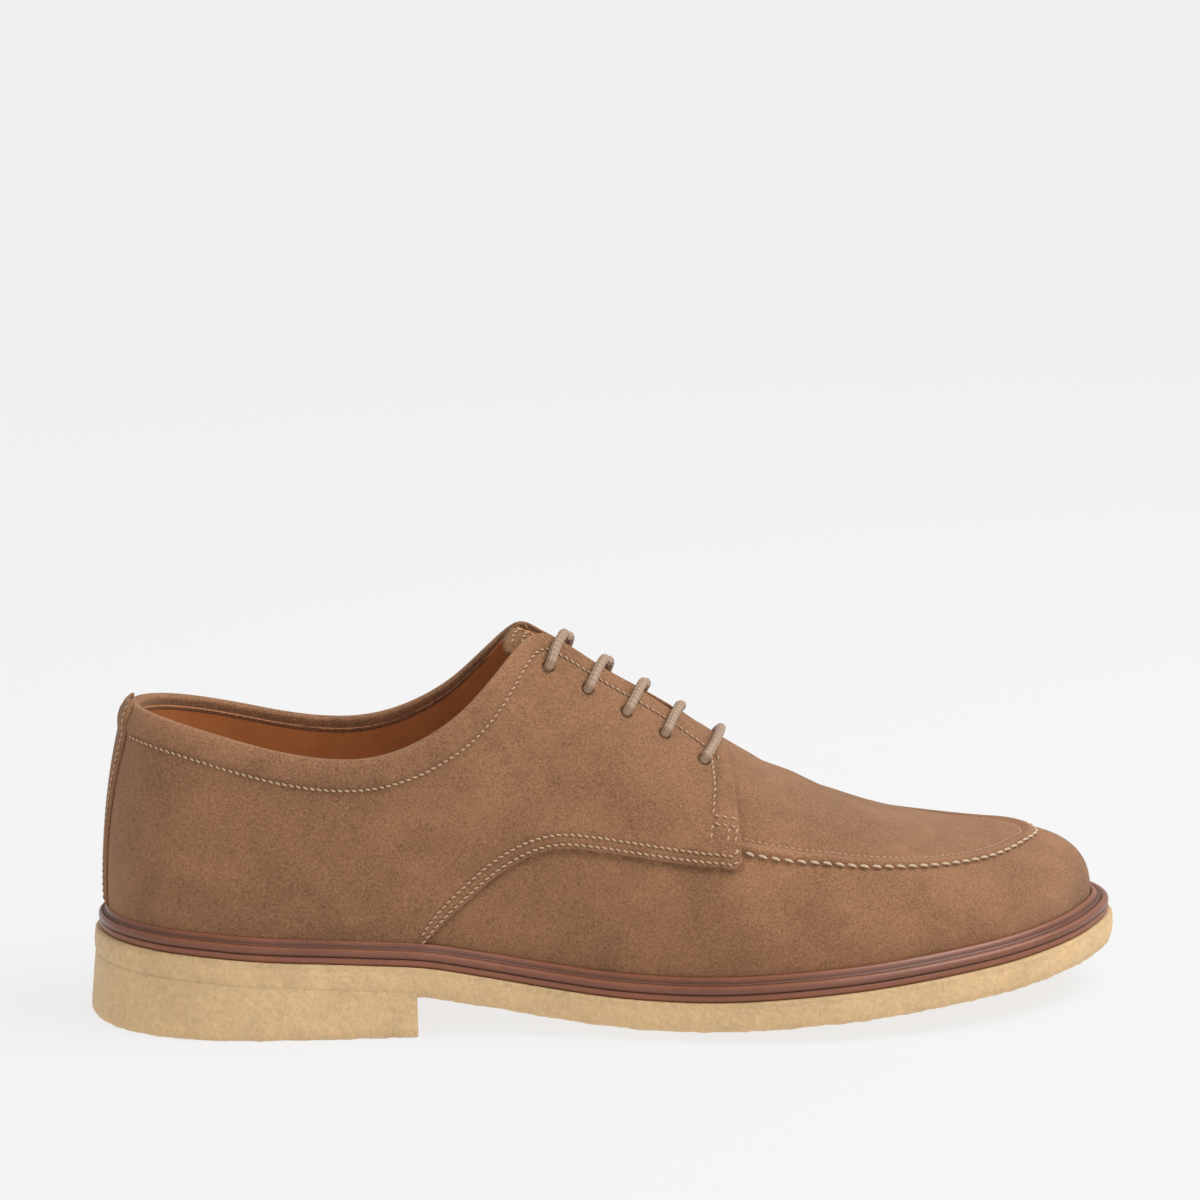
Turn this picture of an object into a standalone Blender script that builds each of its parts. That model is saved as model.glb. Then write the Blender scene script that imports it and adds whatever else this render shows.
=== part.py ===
"""Derby shoe for the right foot: hollow suede upper on a storm welt and a crepe sole.

All sizes are in metres. Plus X runs from heel to toe, minus Y is the outer side of the
foot and the floor is at Z = 0. A place on the upper is named by two shares: `ring` goes
once round the feather line (0 heel, 1 toe, 2 heel again, outer side first) and `climb`
goes from the feather line (0) up to the crown of the last (1).
"""

import math

import bmesh
import bpy
import numpy as np

MM = 0.001

# Driving sizes of the last
LAST_LENGTH = 288 * MM
BALL_WIDTH = 98.5 * MM
INSTEP_HEIGHT = 112 * MM
HEEL_HEIGHT = 21.5 * MM

# Thicknesses
WALL = 2.0 * MM
QUARTER_THICKNESS = 1.2 * MM
TONGUE_THICKNESS = 2.0 * MM
BACKSTAY_THICKNESS = 0.9 * MM
CREPE_THICKNESS = 8.4 * MM
MIDSOLE_THICKNESS = 1.8 * MM
INSOLE_THICKNESS = 3.0 * MM
GAP = 0.3 * MM

# Reach of the sole layers beyond the feather line
CREPE_REACH = 6.6 * MM
CREPE_BULGE = 0.4 * MM
CREPE_ROUND = 1.2 * MM
WELT_REACH = 5.6 * MM
HEEL_FLARE = 1.8 * MM
HEEL_TUCK = 1.6 * MM
BEAD_HEIGHT = 3.2 * MM
BEAD_CLEAR = 5.8 * MM
SOLE_ROCKER = 2.9 * MM
HEEL_EDGE_ROUND = 2.6 * MM
BREAST_AT = 0.300
BREAST_HOLLOW = 2.0 * MM

# Raised apron seam, collar pad and facings
RIDGE_WIDTH = 3.4 * MM
RIDGE_HEIGHT = 1.3 * MM
COLLAR_PAD = 0.9 * MM
COLLAR_PAD_WIDTH = 8.0 * MM
LINING_DROP = 0.5 * MM
MEDIAL_LEAD = 6.5 * MM
MEDIAL_RISE = 1.5 * MM
FACING_FRONT = 0.620
QUARTER_ENDS = (0.302, 0.335)
CLOSED = 0.9999

# Tongue and the tab of the backstay
TONGUE_TOP = 119.5 * MM
TONGUE_SINK = 1.2 * MM
TONGUE_FRONT = 195 * MM
TONGUE_HALF = 27 * MM
TONGUE_TAPER = 0.28
TONGUE_SLANT = 0.22
TAB_DROP = 0.4 * MM
TAB_LIFT = 0.15 * MM

# Laces
LACE_DIAMETER = 2.8 * MM
LACE_FLAT = 1.6 * MM
LACE_BEND = 2.3 * MM
LACE_CLEAR = 0.2 * MM
HIDDEN_CLEAR = 0.8 * MM
BAR_LIFT = 1.0 * MM
HOLE_DIAMETER = 4.2 * MM
HOLE_INSET = 15.0 * MM
HOLE_ROWS = 5
FIRST_HOLE = 169 * MM
HOLE_PITCH = 11.0 * MM

# Steps round one side of the feather line
SIDE_STEPS = 40
CURVE_SAMPLES = 400

# Feather line, outer side: share of the length, share of the ball width
LATERAL_EDGE = (
    (0.000, 0.000),
    (0.014, 0.142),
    (0.049, 0.244),
    (0.111, 0.305),
    (0.215, 0.325),
    (0.319, 0.330),
    (0.417, 0.355),
    (0.521, 0.426),
    (0.608, 0.490),
    (0.670, 0.511),
    (0.747, 0.495),
    (0.833, 0.428),
    (0.910, 0.307),
    (0.969, 0.142),
    (1.000, -0.041),
)

# Feather line, inner side: the same columns
MEDIAL_EDGE = (
    (0.014, 0.137),
    (0.049, 0.239),
    (0.104, 0.299),
    (0.208, 0.308),
    (0.312, 0.288),
    (0.399, 0.286),
    (0.486, 0.320),
    (0.573, 0.394),
    (0.660, 0.463),
    (0.747, 0.490),
    (0.833, 0.475),
    (0.910, 0.411),
    (0.969, 0.305),
    (0.996, 0.165),
)

# Top of the crepe: share of the length, share of the heel height
SOLE_LINE = (
    (-0.04, 1.200),
    (0.06, 1.125),
    (0.16, 1.030),
    (0.25, 0.965),
    (0.31, 0.905),
    (0.36, 0.790),
    (0.42, 0.650),
    (0.48, 0.548),
    (0.54, 0.508),
    (0.60, 0.525),
    (0.67, 0.590),
    (0.74, 0.655),
    (0.82, 0.745),
    (0.90, 0.825),
    (0.97, 0.915),
    (1.03, 1.010),
)

# Crown of the last: share of the length, share of the instep height
CROWN_HEIGHT = (
    (0.08, 1.050),
    (0.21, 1.085),
    (0.32, 1.080),
    (0.40, 1.045),
    (0.45, 0.985),
    (0.50, 0.893),
    (0.55, 0.800),
    (0.60, 0.706),
    (0.65, 0.625),
    (0.70, 0.560),
    (0.74, 0.513),
    (0.78, 0.473),
    (0.83, 0.441),
    (0.88, 0.414),
)

# Sideways place of the crown: share of the length, share of the ball width
CROWN_SIDE = (
    (0.00, 0.000),
    (0.30, 0.005),
    (0.50, 0.020),
    (0.70, 0.035),
    (1.00, 0.041),
)

# Crown place for each place round the feather line: half ring, share of the length
CROWN_AT = (
    (0.00, 0.100),
    (0.08, 0.115),
    (0.15, 0.150),
    (0.27, 0.262),
    (0.42, 0.417),
    (0.54, 0.550),
    (0.65, 0.668),
    (0.76, 0.770),
    (0.88, 0.830),
    (1.00, 0.850),
)

# Cross sections of the last: a row for each share of the length
SECTION_COLUMNS = ("along", "lean", "rise", "shoulder")
SECTIONS = (
    (0.00, 0.022, 0.290, 0.800),
    (0.05, 0.036, 0.300, 0.820),
    (0.12, 0.056, 0.305, 0.880),
    (0.25, 0.061, 0.310, 0.930),
    (0.34, 0.056, 0.360, 0.760),
    (0.42, 0.050, 0.440, 0.500),
    (0.55, 0.040, 0.460, 0.430),
    (0.67, 0.040, 0.570, 0.480),
    (0.80, 0.034, 0.740, 0.580),
    (0.92, 0.030, 0.800, 0.560),
    (1.00, 0.025, 1.050, 0.500),
)

# Collar line: share of the length, share of the instep height
TOPLINE = (
    (0.020, 0.818),
    (0.050, 0.804),
    (0.090, 0.780),
    (0.132, 0.752),
    (0.174, 0.726),
    (0.215, 0.710),
    (0.245, 0.708),
    (0.272, 0.718),
    (0.300, 0.742),
    (0.328, 0.780),
    (0.352, 0.824),
    (0.372, 0.872),
    (0.390, 0.918),
    (0.406, 0.958),
    (0.424, 0.980),
    (0.445, 0.988),
)

# Lower edge of the quarters: share of the length, share of the instep height
QUARTER_LINE = (
    (0.284, 0.150),
    (0.305, 0.225),
    (0.326, 0.285),
    (0.350, 0.343),
    (0.375, 0.397),
    (0.399, 0.436),
    (0.417, 0.456),
    (0.437, 0.467),
    (0.476, 0.461),
    (0.510, 0.448),
    (0.560, 0.430),
    (0.597, 0.421),
    (0.613, 0.421),
    (0.620, 0.440),
)

# Half the opening between the facings: share of the length, share of the ball width
THROAT_HALF = (
    (0.400, 0.083),
    (0.480, 0.090),
    (0.580, 0.094),
    (0.600, 0.108),
    (0.612, 0.135),
    (0.620, 0.180),
)

# Half the slot in the vamp under the facings, which ends before their front
SLOT_HALF = (
    (0.400, 0.088),
    (0.480, 0.095),
    (0.545, 0.095),
    (0.560, 0.080),
    (0.568, 0.055),
    (0.574, 0.000),
)

# Apron seam: share of the length, inset from the feather line as a share of the ball width
APRON_INSET = (
    (0.55, 0.110),
    (0.66, 0.122),
    (0.80, 0.128),
    (0.92, 0.150),
    (1.00, 0.180),
)

# Rows of the tongue: shares of its length, and of its half width to each side
TONGUE_ALONG = (0.0, 0.038, 0.101, 0.203, 0.316, 0.430, 0.557, 0.684, 0.797, 0.899, 1.0)
TONGUE_ACROSS = (0.130, 0.370, 0.667, 0.944, 1.0)

# Backstay: share of its height, half width in millimetres
BACKSTAY_HALF = (
    (0.00, 4.6),
    (0.18, 4.8),
    (0.40, 5.6),
    (0.62, 7.6),
    (0.80, 9.8),
    (0.93, 10.4),
    (1.00, 8.2),
)

# Section of the storm welt: share from the upper to its edge, height over the midsole in millimetres
WELT_PROFILE = (
    (0.10, 4.1),
    (0.30, 3.4),
    (0.42, 2.5),
    (0.56, 1.9),
    (0.64, 2.1),
    (0.86, 2.1),
    (1.00, 1.5),
    (1.00, 0.0),
)

# Colours of the materials: red, green, blue, then roughness
MATERIALS = {
    "crepe": (0.50, 0.30, 0.10, 0.55),
    "welt_leather": (0.16, 0.05, 0.02, 0.40),
    "suede": (0.27, 0.18, 0.11, 0.95),
    "lining_leather": (0.45, 0.22, 0.09, 0.50),
    "lace_cord": (0.42, 0.31, 0.20, 0.75),
}


def smooth(rows, at, column=1):
    """Smooth curve through the rows of a short table, read at one place or many."""
    table = np.asarray(rows, float)
    places = table[:, 0]
    values = table[:, column]
    slopes = np.gradient(values, places)
    at = np.clip(np.asarray(at, float), places[0], places[-1])
    left = np.clip(np.searchsorted(places, at) - 1, 0, len(places) - 2)
    width = places[left + 1] - places[left]
    share = (at - places[left]) / width
    square = share * share
    cube = square * share
    return (
        (2 * cube - 3 * square + 1) * values[left]
        + (cube - 2 * square + share) * width * slopes[left]
        + (3 * square - 2 * cube) * values[left + 1]
        + (cube - square) * width * slopes[left + 1]
    )


def ease(low, high, at):
    """Soft step from 0 at `low` to 1 at `high`."""
    share = np.clip((np.asarray(at, float) - low) / (high - low), 0.0, 1.0)
    return share * share * (3 - 2 * share)


def feather_samples():
    """Dense samples of the closed feather line: ring share, place and outward direction."""
    outer = [(along * LAST_LENGTH, -across * BALL_WIDTH) for along, across in LATERAL_EDGE]
    inner = [(along * LAST_LENGTH, across * BALL_WIDTH) for along, across in MEDIAL_EDGE]
    corners = np.array(outer + inner[::-1])
    lead = 3
    wrapped = np.vstack([corners[-lead:], corners, corners[: lead + 1]])
    steps = np.linalg.norm(np.diff(wrapped, axis=0), axis=1)
    reach = np.concatenate([[0.0], np.cumsum(steps)])
    heel = reach[lead]
    toe = reach[lead + len(outer) - 1]
    back = reach[lead + len(corners)]
    rings = []
    places = []
    for side, (start, stop) in enumerate(((heel, toe), (toe, back))):
        at = np.linspace(start, stop, CURVE_SAMPLES + 1)
        curve = np.stack([smooth(np.c_[reach, wrapped[:, axis]], at) for axis in (0, 1)], axis=1)
        lengths = np.concatenate([[0.0], np.cumsum(np.linalg.norm(np.diff(curve, axis=0), axis=1))])
        rings.append(side + lengths / lengths[-1])
        places.append(curve)
    ring = np.concatenate([rings[0][:-1], rings[1]])
    place = np.vstack([places[0][:-1], places[1]])
    along = np.vstack([place[1:], place[1]]) - np.vstack([place[-2], place[:-1]])
    along /= np.linalg.norm(along, axis=1)[:, None]
    outward = np.c_[along[:, 1], -along[:, 0]]
    return ring, place, outward


FEATHER_RING, FEATHER_PLACE, FEATHER_OUT = feather_samples()
FEATHER_LOOP = np.linalg.norm(np.diff(FEATHER_PLACE, axis=0), axis=1).sum()


def sole_line(x):
    """Height of the top of the crepe."""
    return smooth(SOLE_LINE, np.asarray(x) / LAST_LENGTH) * HEEL_HEIGHT


def seat(x):
    """Height of the lower edge of the upper, just above the midsole."""
    return sole_line(x) + GAP + MIDSOLE_THICKNESS + GAP


def feather(ring, reach=0.0):
    """Places on the feather line, moved outward by `reach`, at the seat height."""
    ring = np.asarray(ring, float) % 2.0
    place = np.stack([np.interp(ring, FEATHER_RING, FEATHER_PLACE[:, axis]) for axis in (0, 1)], axis=-1)
    out = np.stack([np.interp(ring, FEATHER_RING, FEATHER_OUT[:, axis]) for axis in (0, 1)], axis=-1)
    out = out / np.linalg.norm(out, axis=-1, keepdims=True)
    moved = place + out * np.asarray(reach)[..., None]
    height = seat(moved[..., 0])
    zero = np.zeros_like(height)
    return (
        np.concatenate([moved, height[..., None]], axis=-1),
        np.concatenate([out, zero[..., None]], axis=-1),
    )


def crown(x):
    """Places on the crown line of the last."""
    share = np.asarray(x, float) / LAST_LENGTH
    side = smooth(CROWN_SIDE, share) * BALL_WIDTH
    height = smooth(CROWN_HEIGHT, share) * INSTEP_HEIGHT
    return np.stack([share * LAST_LENGTH, side, height], axis=-1)


def half_ring(ring):
    """Distance round from the heel, the same on both sides."""
    ring = np.asarray(ring, float) % 2.0
    return np.where(ring <= 1.0, ring, 2.0 - ring)


def crown_place(ring):
    """Place along the shoe of the crown point that a place round the feather line leads to."""
    return smooth(CROWN_AT, half_ring(ring)) * LAST_LENGTH


def section(column, along):
    """One column of the section table, read along the last."""
    return smooth(SECTIONS, along, SECTION_COLUMNS.index(column))


def surface(ring, climb):
    """Places on the skin of the last."""
    ring, climb = np.broadcast_arrays(np.asarray(ring, float), np.asarray(climb, float))
    foot, out = feather(ring, np.zeros_like(ring))
    along = foot[..., 0] / LAST_LENGTH
    top_x = crown_place(ring)
    top = crown(top_x)
    fall = (crown(top_x + MM) - crown(top_x - MM))[..., 2] / (2 * MM)
    side = (foot - top) * np.array([1.0, 1.0, 0.0])
    side[..., 2] = fall * side[..., 0]
    rise = (top - foot)[..., 2] * section("rise", along)
    low = foot + out * (section("lean", along) * BALL_WIDTH)[..., None]
    low[..., 2] = low[..., 2] + rise
    high = top + side * section("shoulder", along)[..., None]
    share = climb[..., None]
    rest = 1.0 - share
    return (
        rest ** 3 * foot
        + 3 * rest ** 2 * share * low
        + 3 * rest * share ** 2 * high
        + share ** 3 * top
    )


def normal(ring, climb):
    """Outward direction of the skin."""
    ring, climb = np.broadcast_arrays(np.asarray(ring, float), np.asarray(climb, float))
    climb = np.clip(climb, 0.01, 0.98)
    step = 0.008
    along = surface(ring + step, climb) - surface(ring - step, climb)
    up = surface(ring, climb + step) - surface(ring, climb - step)
    out = np.cross(along, up)
    return out / np.linalg.norm(out, axis=-1, keepdims=True)


def skin(ring, climb, height):
    """Places at a height above the skin of the last, or below it where the height is negative."""
    return surface(ring, climb) + normal(ring, climb) * np.asarray(height)[..., None]


def first_climb(ring, crossing):
    """Climb at which `crossing` of the place turns positive, and 1 where it never does."""
    climbs = np.linspace(0.0, 1.0, 201)
    value = crossing(surface(ring[:, None], climbs[None, :]))
    hit = value > 0
    at = np.argmax(hit, axis=1)
    before = np.maximum(at - 1, 0)
    rows = np.arange(len(ring))
    low = value[rows, before]
    high = value[rows, at]
    share = np.where(at > 0, low / np.where(low == high, -1.0, low - high), 0.0)
    climb = climbs[before] + share * (climbs[at] - climbs[before])
    return np.where(hit.any(axis=1), climb, 1.0)


def meridian_length(ring):
    """Length of the skin from the feather line to the crown."""
    points = surface(np.asarray(ring)[..., None], np.linspace(0.0, 1.0, 41))
    return np.linalg.norm(np.diff(points, axis=-2), axis=-1).sum(axis=-1)


def medial_shift(points):
    """How far a place on the inner side is read further back, because the facings lead there."""
    share = points[..., 0] / LAST_LENGTH
    side = points[..., 1] - crown(points[..., 0])[..., 1]
    return MEDIAL_LEAD * (side > 0) * ease(0.36, 0.44, share)


def over_topline(drop):
    """Crossing that is positive above the collar line lowered by `drop`."""
    def crossing(points):
        share = points[..., 0] / LAST_LENGTH
        side = points[..., 1] - crown(points[..., 0])[..., 1]
        rise = MEDIAL_RISE * (side > 0) * ease(0.33, 0.41, share)
        return points[..., 2] + drop - rise - smooth(TOPLINE, share) * INSTEP_HEIGHT
    return crossing


def inside_opening(rows):
    """Crossing that is positive within half the opening that a table gives."""
    def crossing(points):
        x = points[..., 0]
        side = points[..., 1] - crown(x)[..., 1]
        share = (x - medial_shift(points)) / LAST_LENGTH
        half = smooth(rows, share) * BALL_WIDTH
        return np.where(share > rows[0][0], half - np.abs(side), -half) - 0.01 * MM
    return crossing


def over_quarter_line(points):
    """Positive above the lower edge of the quarters."""
    share = (points[..., 0] - medial_shift(points)) / LAST_LENGTH
    return points[..., 2] - smooth(QUARTER_LINE, share) * INSTEP_HEIGHT


def inside_apron(points):
    """Positive once the skin has come in from the feather line by the apron inset."""
    foot = points[:, :1, :2]
    inset = smooth(APRON_INSET, foot[..., 0] / LAST_LENGTH) * BALL_WIDTH
    return np.linalg.norm(points[..., :2] - foot, axis=-1) - inset


def side_places():
    """Half ring places, a little closer together round the heel and the toe."""
    even = np.linspace(0.0, 1.0, SIDE_STEPS + 1)
    return even - 0.035 * np.sin(2 * math.pi * even)


def ring_places():
    """Places round the whole feather line, the two sides mirrored."""
    half = side_places()
    return np.concatenate([half, 2.0 - half[-2:0:-1]])


def collar_top(ring):
    """Climb of the outer leather's top edge: collar line, then facing edge."""
    return np.minimum(first_climb(ring, over_topline(0.0)), first_climb(ring, inside_opening(THROAT_HALF)))


def lining_top(ring):
    """Climb of the inner layer's top edge, 1 where the vamp closes over the foot."""
    lowered = first_climb(ring, over_topline(LINING_DROP))
    return np.minimum(lowered, first_climb(ring, inside_opening(SLOT_HALF)))


def apron_climb(ring, top):
    """Climb of the apron seam, which fades into the middle of the wall behind the vamp."""
    along = feather(ring, np.zeros_like(ring))[0][:, 0] / LAST_LENGTH
    seam = first_climb(ring, inside_apron)
    return top * 0.5 + (seam - top * 0.5) * ease(0.50, 0.58, along)


def ridge_height(ring):
    """Height of the apron ridge, nothing where the quarter covers it."""
    along = feather(ring, np.zeros_like(ring))[0][..., 0] / LAST_LENGTH
    return RIDGE_HEIGHT * ease(0.56, 0.61, along)


def material(name):
    """Principled material of a named slot."""
    red, green, blue, roughness = MATERIALS[name]
    made = bpy.data.materials.new(name)
    made.use_nodes = True
    shader = made.node_tree.nodes["Principled BSDF"]
    shader.inputs["Base Color"].default_value = (red, green, blue, 1.0)
    shader.inputs["Roughness"].default_value = roughness
    shader.inputs["Metallic"].default_value = 0.0
    made.diffuse_color = (red, green, blue, 1.0)
    return made


def collection(name):
    """New collection in the scene."""
    made = bpy.data.collections.new(name)
    bpy.context.scene.collection.children.link(made)
    return made


def mesh_object(name, points, faces, slot, group):
    """Object from points and faces, unused points dropped and faces turned outward."""
    mesh = bpy.data.meshes.new(name)
    mesh.from_pydata([tuple(point) for point in points], [], faces)
    work = bmesh.new()
    work.from_mesh(mesh)
    loose = [vertex for vertex in work.verts if not vertex.link_faces]
    bmesh.ops.delete(work, geom=loose, context="VERTS")
    bmesh.ops.recalc_face_normals(work, faces=work.faces)
    work.to_mesh(mesh)
    work.free()
    mesh.materials.append(slot)
    made = bpy.data.objects.new(name, mesh)
    group.objects.link(made)
    return made


def grid_faces(index, wrap_rows, wrap_columns, crowns, joined):
    """Faces between neighbours of a grid of point numbers."""
    rows, columns = index.shape
    faces = []
    for row in range(rows if wrap_rows else rows - 1):
        next_row = (row + 1) % rows
        both_joined = joined[row] and joined[next_row]
        for column in range(columns if wrap_columns else columns - 1):
            next_column = (column + 1) % columns
            if both_joined and column in crowns and next_column in crowns:
                continue
            corners = (
                index[row, column],
                index[next_row, column],
                index[next_row, next_column],
                index[row, next_column],
            )
            face = list(dict.fromkeys(int(corner) for corner in corners))
            if len(face) > 2:
                faces.append(face)
    return faces


def cap_faces(line):
    """Faces that close the end of a grid whose outline goes up one skin and down the other."""
    count = len(line)
    faces = []
    for step in range(count // 2 - 1):
        corners = (line[step], line[step + 1], line[count - 2 - step], line[count - 1 - step])
        faces.append([int(corner) for corner in corners])
    return faces


def grid_solid(name, points, slot, group, wrap_rows, wrap_columns, crowns=(), joined=None):
    """Closed mesh over a grid of points; at the crown columns joined rows share one point."""
    rows, columns = points.shape[:2]
    points = points.copy()
    index = np.arange(rows * columns).reshape(rows, columns)
    joined = np.zeros(rows, bool) if joined is None else joined
    for column in crowns:
        for row in np.flatnonzero(joined):
            twin = (-row) % rows
            if twin < row:
                middle = (points[row, column] + points[twin, column]) / 2
                points[row, column] = middle
                points[twin, column] = middle
                index[row, column] = index[twin, column]
    faces = grid_faces(index, wrap_rows, wrap_columns, crowns, joined)
    if not wrap_rows:
        faces += cap_faces(index[0])
        faces += cap_faces(index[-1])
    return mesh_object(name, points.reshape(-1, 3), faces, slot, group)


def centre_shift():
    """Middle of the sole's outline, which becomes the origin of the part."""
    ring = ring_places()
    sole = feather(ring, tucked(CREPE_REACH + CREPE_BULGE, ring))[0]
    heel = feather(ring[:1], tucked(CREPE_REACH + HEEL_FLARE, ring[:1]))[0]
    low = np.minimum(sole.min(axis=0), heel[0])
    high = sole.max(axis=0)
    return np.array([(low[0] + high[0]) / 2, (low[1] + high[1]) / 2, 0.0])


def tucked(reach, ring):
    """Reach of a sole layer beyond the feather line, a little less behind the heel."""
    return reach - HEEL_TUCK * (1 - ease(0.0, 0.16, half_ring(ring)))


def pad_row(ring, reach, share, height):
    """Row of places from the edge (share 0) to the middle line (share 1) at a given height."""
    edge = feather(ring, tucked(reach, ring))[0]
    row = edge + (crown(crown_place(ring)) - edge) * share
    row[..., 2] = height(row[..., 0])
    return row


def pad(name, rows, slot, group):
    """Flat solid filled between the two sides of its outline."""
    ring = ring_places()
    points = np.stack([pad_row(ring, reach, share, height) for reach, share, height in rows], axis=1)
    joined = np.ones(len(ring), bool)
    return grid_solid(name, points, slot, group, True, False, (0, points.shape[1] - 1), joined)


def crepe_bottom(drop):
    """Height of the underside of the crepe, lower by a share of the rocker and flat on the floor."""
    def height(x):
        under = sole_line(x) - CREPE_THICKNESS - drop * SOLE_ROCKER
        return np.maximum(under, 0.0)
    return height


def make_outsole(slots, group):
    """Crepe sheet with its arch and toe spring."""
    rows = (
        (CREPE_REACH, 1.0, sole_line),
        (CREPE_REACH, 0.0, sole_line),
        (CREPE_REACH + CREPE_BULGE, 0.0, lambda x: sole_line(x) - 0.35 * CREPE_THICKNESS),
        (CREPE_REACH, 0.0, lambda x: sole_line(x) - 0.85 * CREPE_THICKNESS),
        (CREPE_REACH - CREPE_ROUND, 0.0, crepe_bottom(0.0)),
        (CREPE_REACH, 0.20, crepe_bottom(0.60)),
        (CREPE_REACH, 0.50, crepe_bottom(1.0)),
        (CREPE_REACH, 1.0, crepe_bottom(1.0)),
    )
    return pad("outsole", rows, slots["crepe"], group)


def heel_roof(drop):
    """Height of the top of the heel block, just under the crepe sheet."""
    def height(x):
        return sole_line(x) - CREPE_THICKNESS - drop * SOLE_ROCKER - GAP
    return height


def make_heel(slots, group, cutters):
    """Crepe heel block with a slightly hollow breast."""
    foot = CREPE_REACH + HEEL_FLARE
    rows = (
        (CREPE_REACH, 1.0, heel_roof(1.0)),
        (CREPE_REACH, 0.50, heel_roof(1.0)),
        (CREPE_REACH, 0.20, heel_roof(0.60)),
        (CREPE_REACH - CREPE_ROUND, 0.0, heel_roof(0.0)),
        (CREPE_REACH + HEEL_FLARE * 0.5, 0.0, lambda x: heel_roof(0.0)(x) * 0.55),
        (foot, 0.0, lambda x: np.full_like(x, HEEL_EDGE_ROUND)),
        (foot - HEEL_EDGE_ROUND * 0.3, 0.0, lambda x: np.full_like(x, HEEL_EDGE_ROUND * 0.3)),
        (foot - HEEL_EDGE_ROUND, 0.0, np.zeros_like),
        (CREPE_REACH, 1.0, np.zeros_like),
    )
    block = pad("heel", rows, slots["crepe"], group)
    cut = breast_cutter(slots, cutters)
    boolean(block, cut, "DIFFERENCE")
    return block


def breast_cutter(slots, cutters):
    """Block that takes away everything in front of the heel breast."""
    across = np.linspace(-1.0, 1.0, 9)
    x = BREAST_AT * LAST_LENGTH - BREAST_HOLLOW * (1 - across ** 2)
    half = BALL_WIDTH
    reach = LAST_LENGTH * 1.2
    back = np.stack([x, across * half * 0.5, np.zeros_like(x)], axis=1)
    front = np.stack([np.full_like(x, reach), across * half, np.zeros_like(x)], axis=1)
    outline = np.vstack([back, front[::-1]])
    low = outline - np.array([0.0, 0.0, HEEL_HEIGHT])
    high = outline + np.array([0.0, 0.0, 2 * HEEL_HEIGHT])
    count = len(outline)
    points = np.vstack([low, high])
    faces = [list(range(count)), list(range(count, 2 * count))]
    for corner in range(count):
        after = (corner + 1) % count
        faces.append([corner, after, count + after, count + corner])
    return mesh_object("cut_breast", points, faces, slots["crepe"], cutters)


def make_midsole(slots, group):
    """Thin leather runner between crepe and welt."""
    top = lambda x: sole_line(x) + GAP + MIDSOLE_THICKNESS
    bottom = lambda x: sole_line(x) + GAP
    rows = (
        (WELT_REACH, 1.0, top),
        (WELT_REACH, 0.0, top),
        (WELT_REACH, 0.0, bottom),
        (WELT_REACH, 1.0, bottom),
    )
    return pad("midsole", rows, slots["welt_leather"], group)


def make_insole(slots, group):
    """Sock that lies on the midsole inside the upper."""
    reach = -(WALL + GAP)
    top = lambda x: seat(x) + INSOLE_THICKNESS
    rows = (
        (reach, 1.0, top),
        (reach, 0.0, top),
        (reach, 0.0, seat),
        (reach, 1.0, seat),
    )
    return pad("insole", rows, slots["lining_leather"], group)


def boolean(target, tool, operation):
    """Exact Boolean, applied at once."""
    modifier = target.modifiers.new(operation.lower(), "BOOLEAN")
    modifier.operation = operation
    modifier.solver = "EXACT"
    modifier.object = tool
    graph = bpy.context.evaluated_depsgraph_get()
    mesh = bpy.data.meshes.new_from_object(target.evaluated_get(graph))
    target.modifiers.clear()
    old = target.data
    target.data = mesh
    bpy.data.meshes.remove(old)
    mesh.name = target.name


def inner_layer(slots, group):
    """Vamp, apron and lining as one closed wall round the foot."""
    ring = ring_places()
    top = lining_top(ring)
    length = meridian_length(ring)
    seam = apron_climb(ring, top)
    half = RIDGE_WIDTH / 2 / length
    wall = np.linspace(0.0, 1.0, 6)[None, :] * (seam - half)[:, None]
    ridge = seam[:, None] + half[:, None] * np.array([-0.5, 0.0, 0.5])
    start = (seam + half)[:, None]
    plug = start + np.linspace(0.0, 1.0, 6)[None, :] * (top[:, None] - start)
    climb = np.concatenate([wall, ridge, plug], axis=1)
    bump = np.zeros_like(climb)
    first = wall.shape[1]
    bump[:, first : first + 3] = ridge_height(ring)[:, None] * np.array([0.75, 1.0, 0.75])
    outer = skin(ring[:, None], climb, bump)
    closer_above = 1.0 - np.linspace(0.0, 1.0, 12) ** 1.6
    under = closer_above[None, :] * top[:, None]
    inner = skin(ring[:, None], under, np.full_like(under, -WALL))
    inner[:, -1, 2] = outer[:, 0, 2]
    points = np.concatenate([outer, inner], axis=1)
    crowns = (climb.shape[1] - 1, climb.shape[1])
    joined = top > CLOSED
    return grid_solid("upper", points, slots["suede"], group, True, True, crowns, joined)


def quarter_rings():
    """Places round the heel from one facing front to the other."""
    half = side_places()
    sides = []
    for side in (0, 1):
        front_x = FACING_FRONT * LAST_LENGTH + (MEDIAL_LEAD if side else 0.0)
        steps = np.linspace(0.0, 1.0, 4001)
        x = feather(2.0 - steps if side else steps, np.zeros_like(steps))[0][:, 0]
        ends = np.interp([front_x - 6 * MM, front_x - 3 * MM, front_x - 1 * MM, front_x], x, steps)
        kept = half[half < ends[0] - 0.012]
        sides.append(np.concatenate([kept, ends]))
    return np.concatenate([2.0 - sides[1][:0:-1], sides[0]])


def collar_pad(ring, below):
    """Swelling of the collar at a distance below its edge; none along the facings."""
    along = feather(ring, np.zeros_like(ring))[0][..., 0] / LAST_LENGTH
    share = np.clip(below / COLLAR_PAD_WIDTH, 0.0, 1.0)
    return COLLAR_PAD * np.sin(math.pi * share) * (1 - ease(0.38, 0.43, along))


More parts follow.
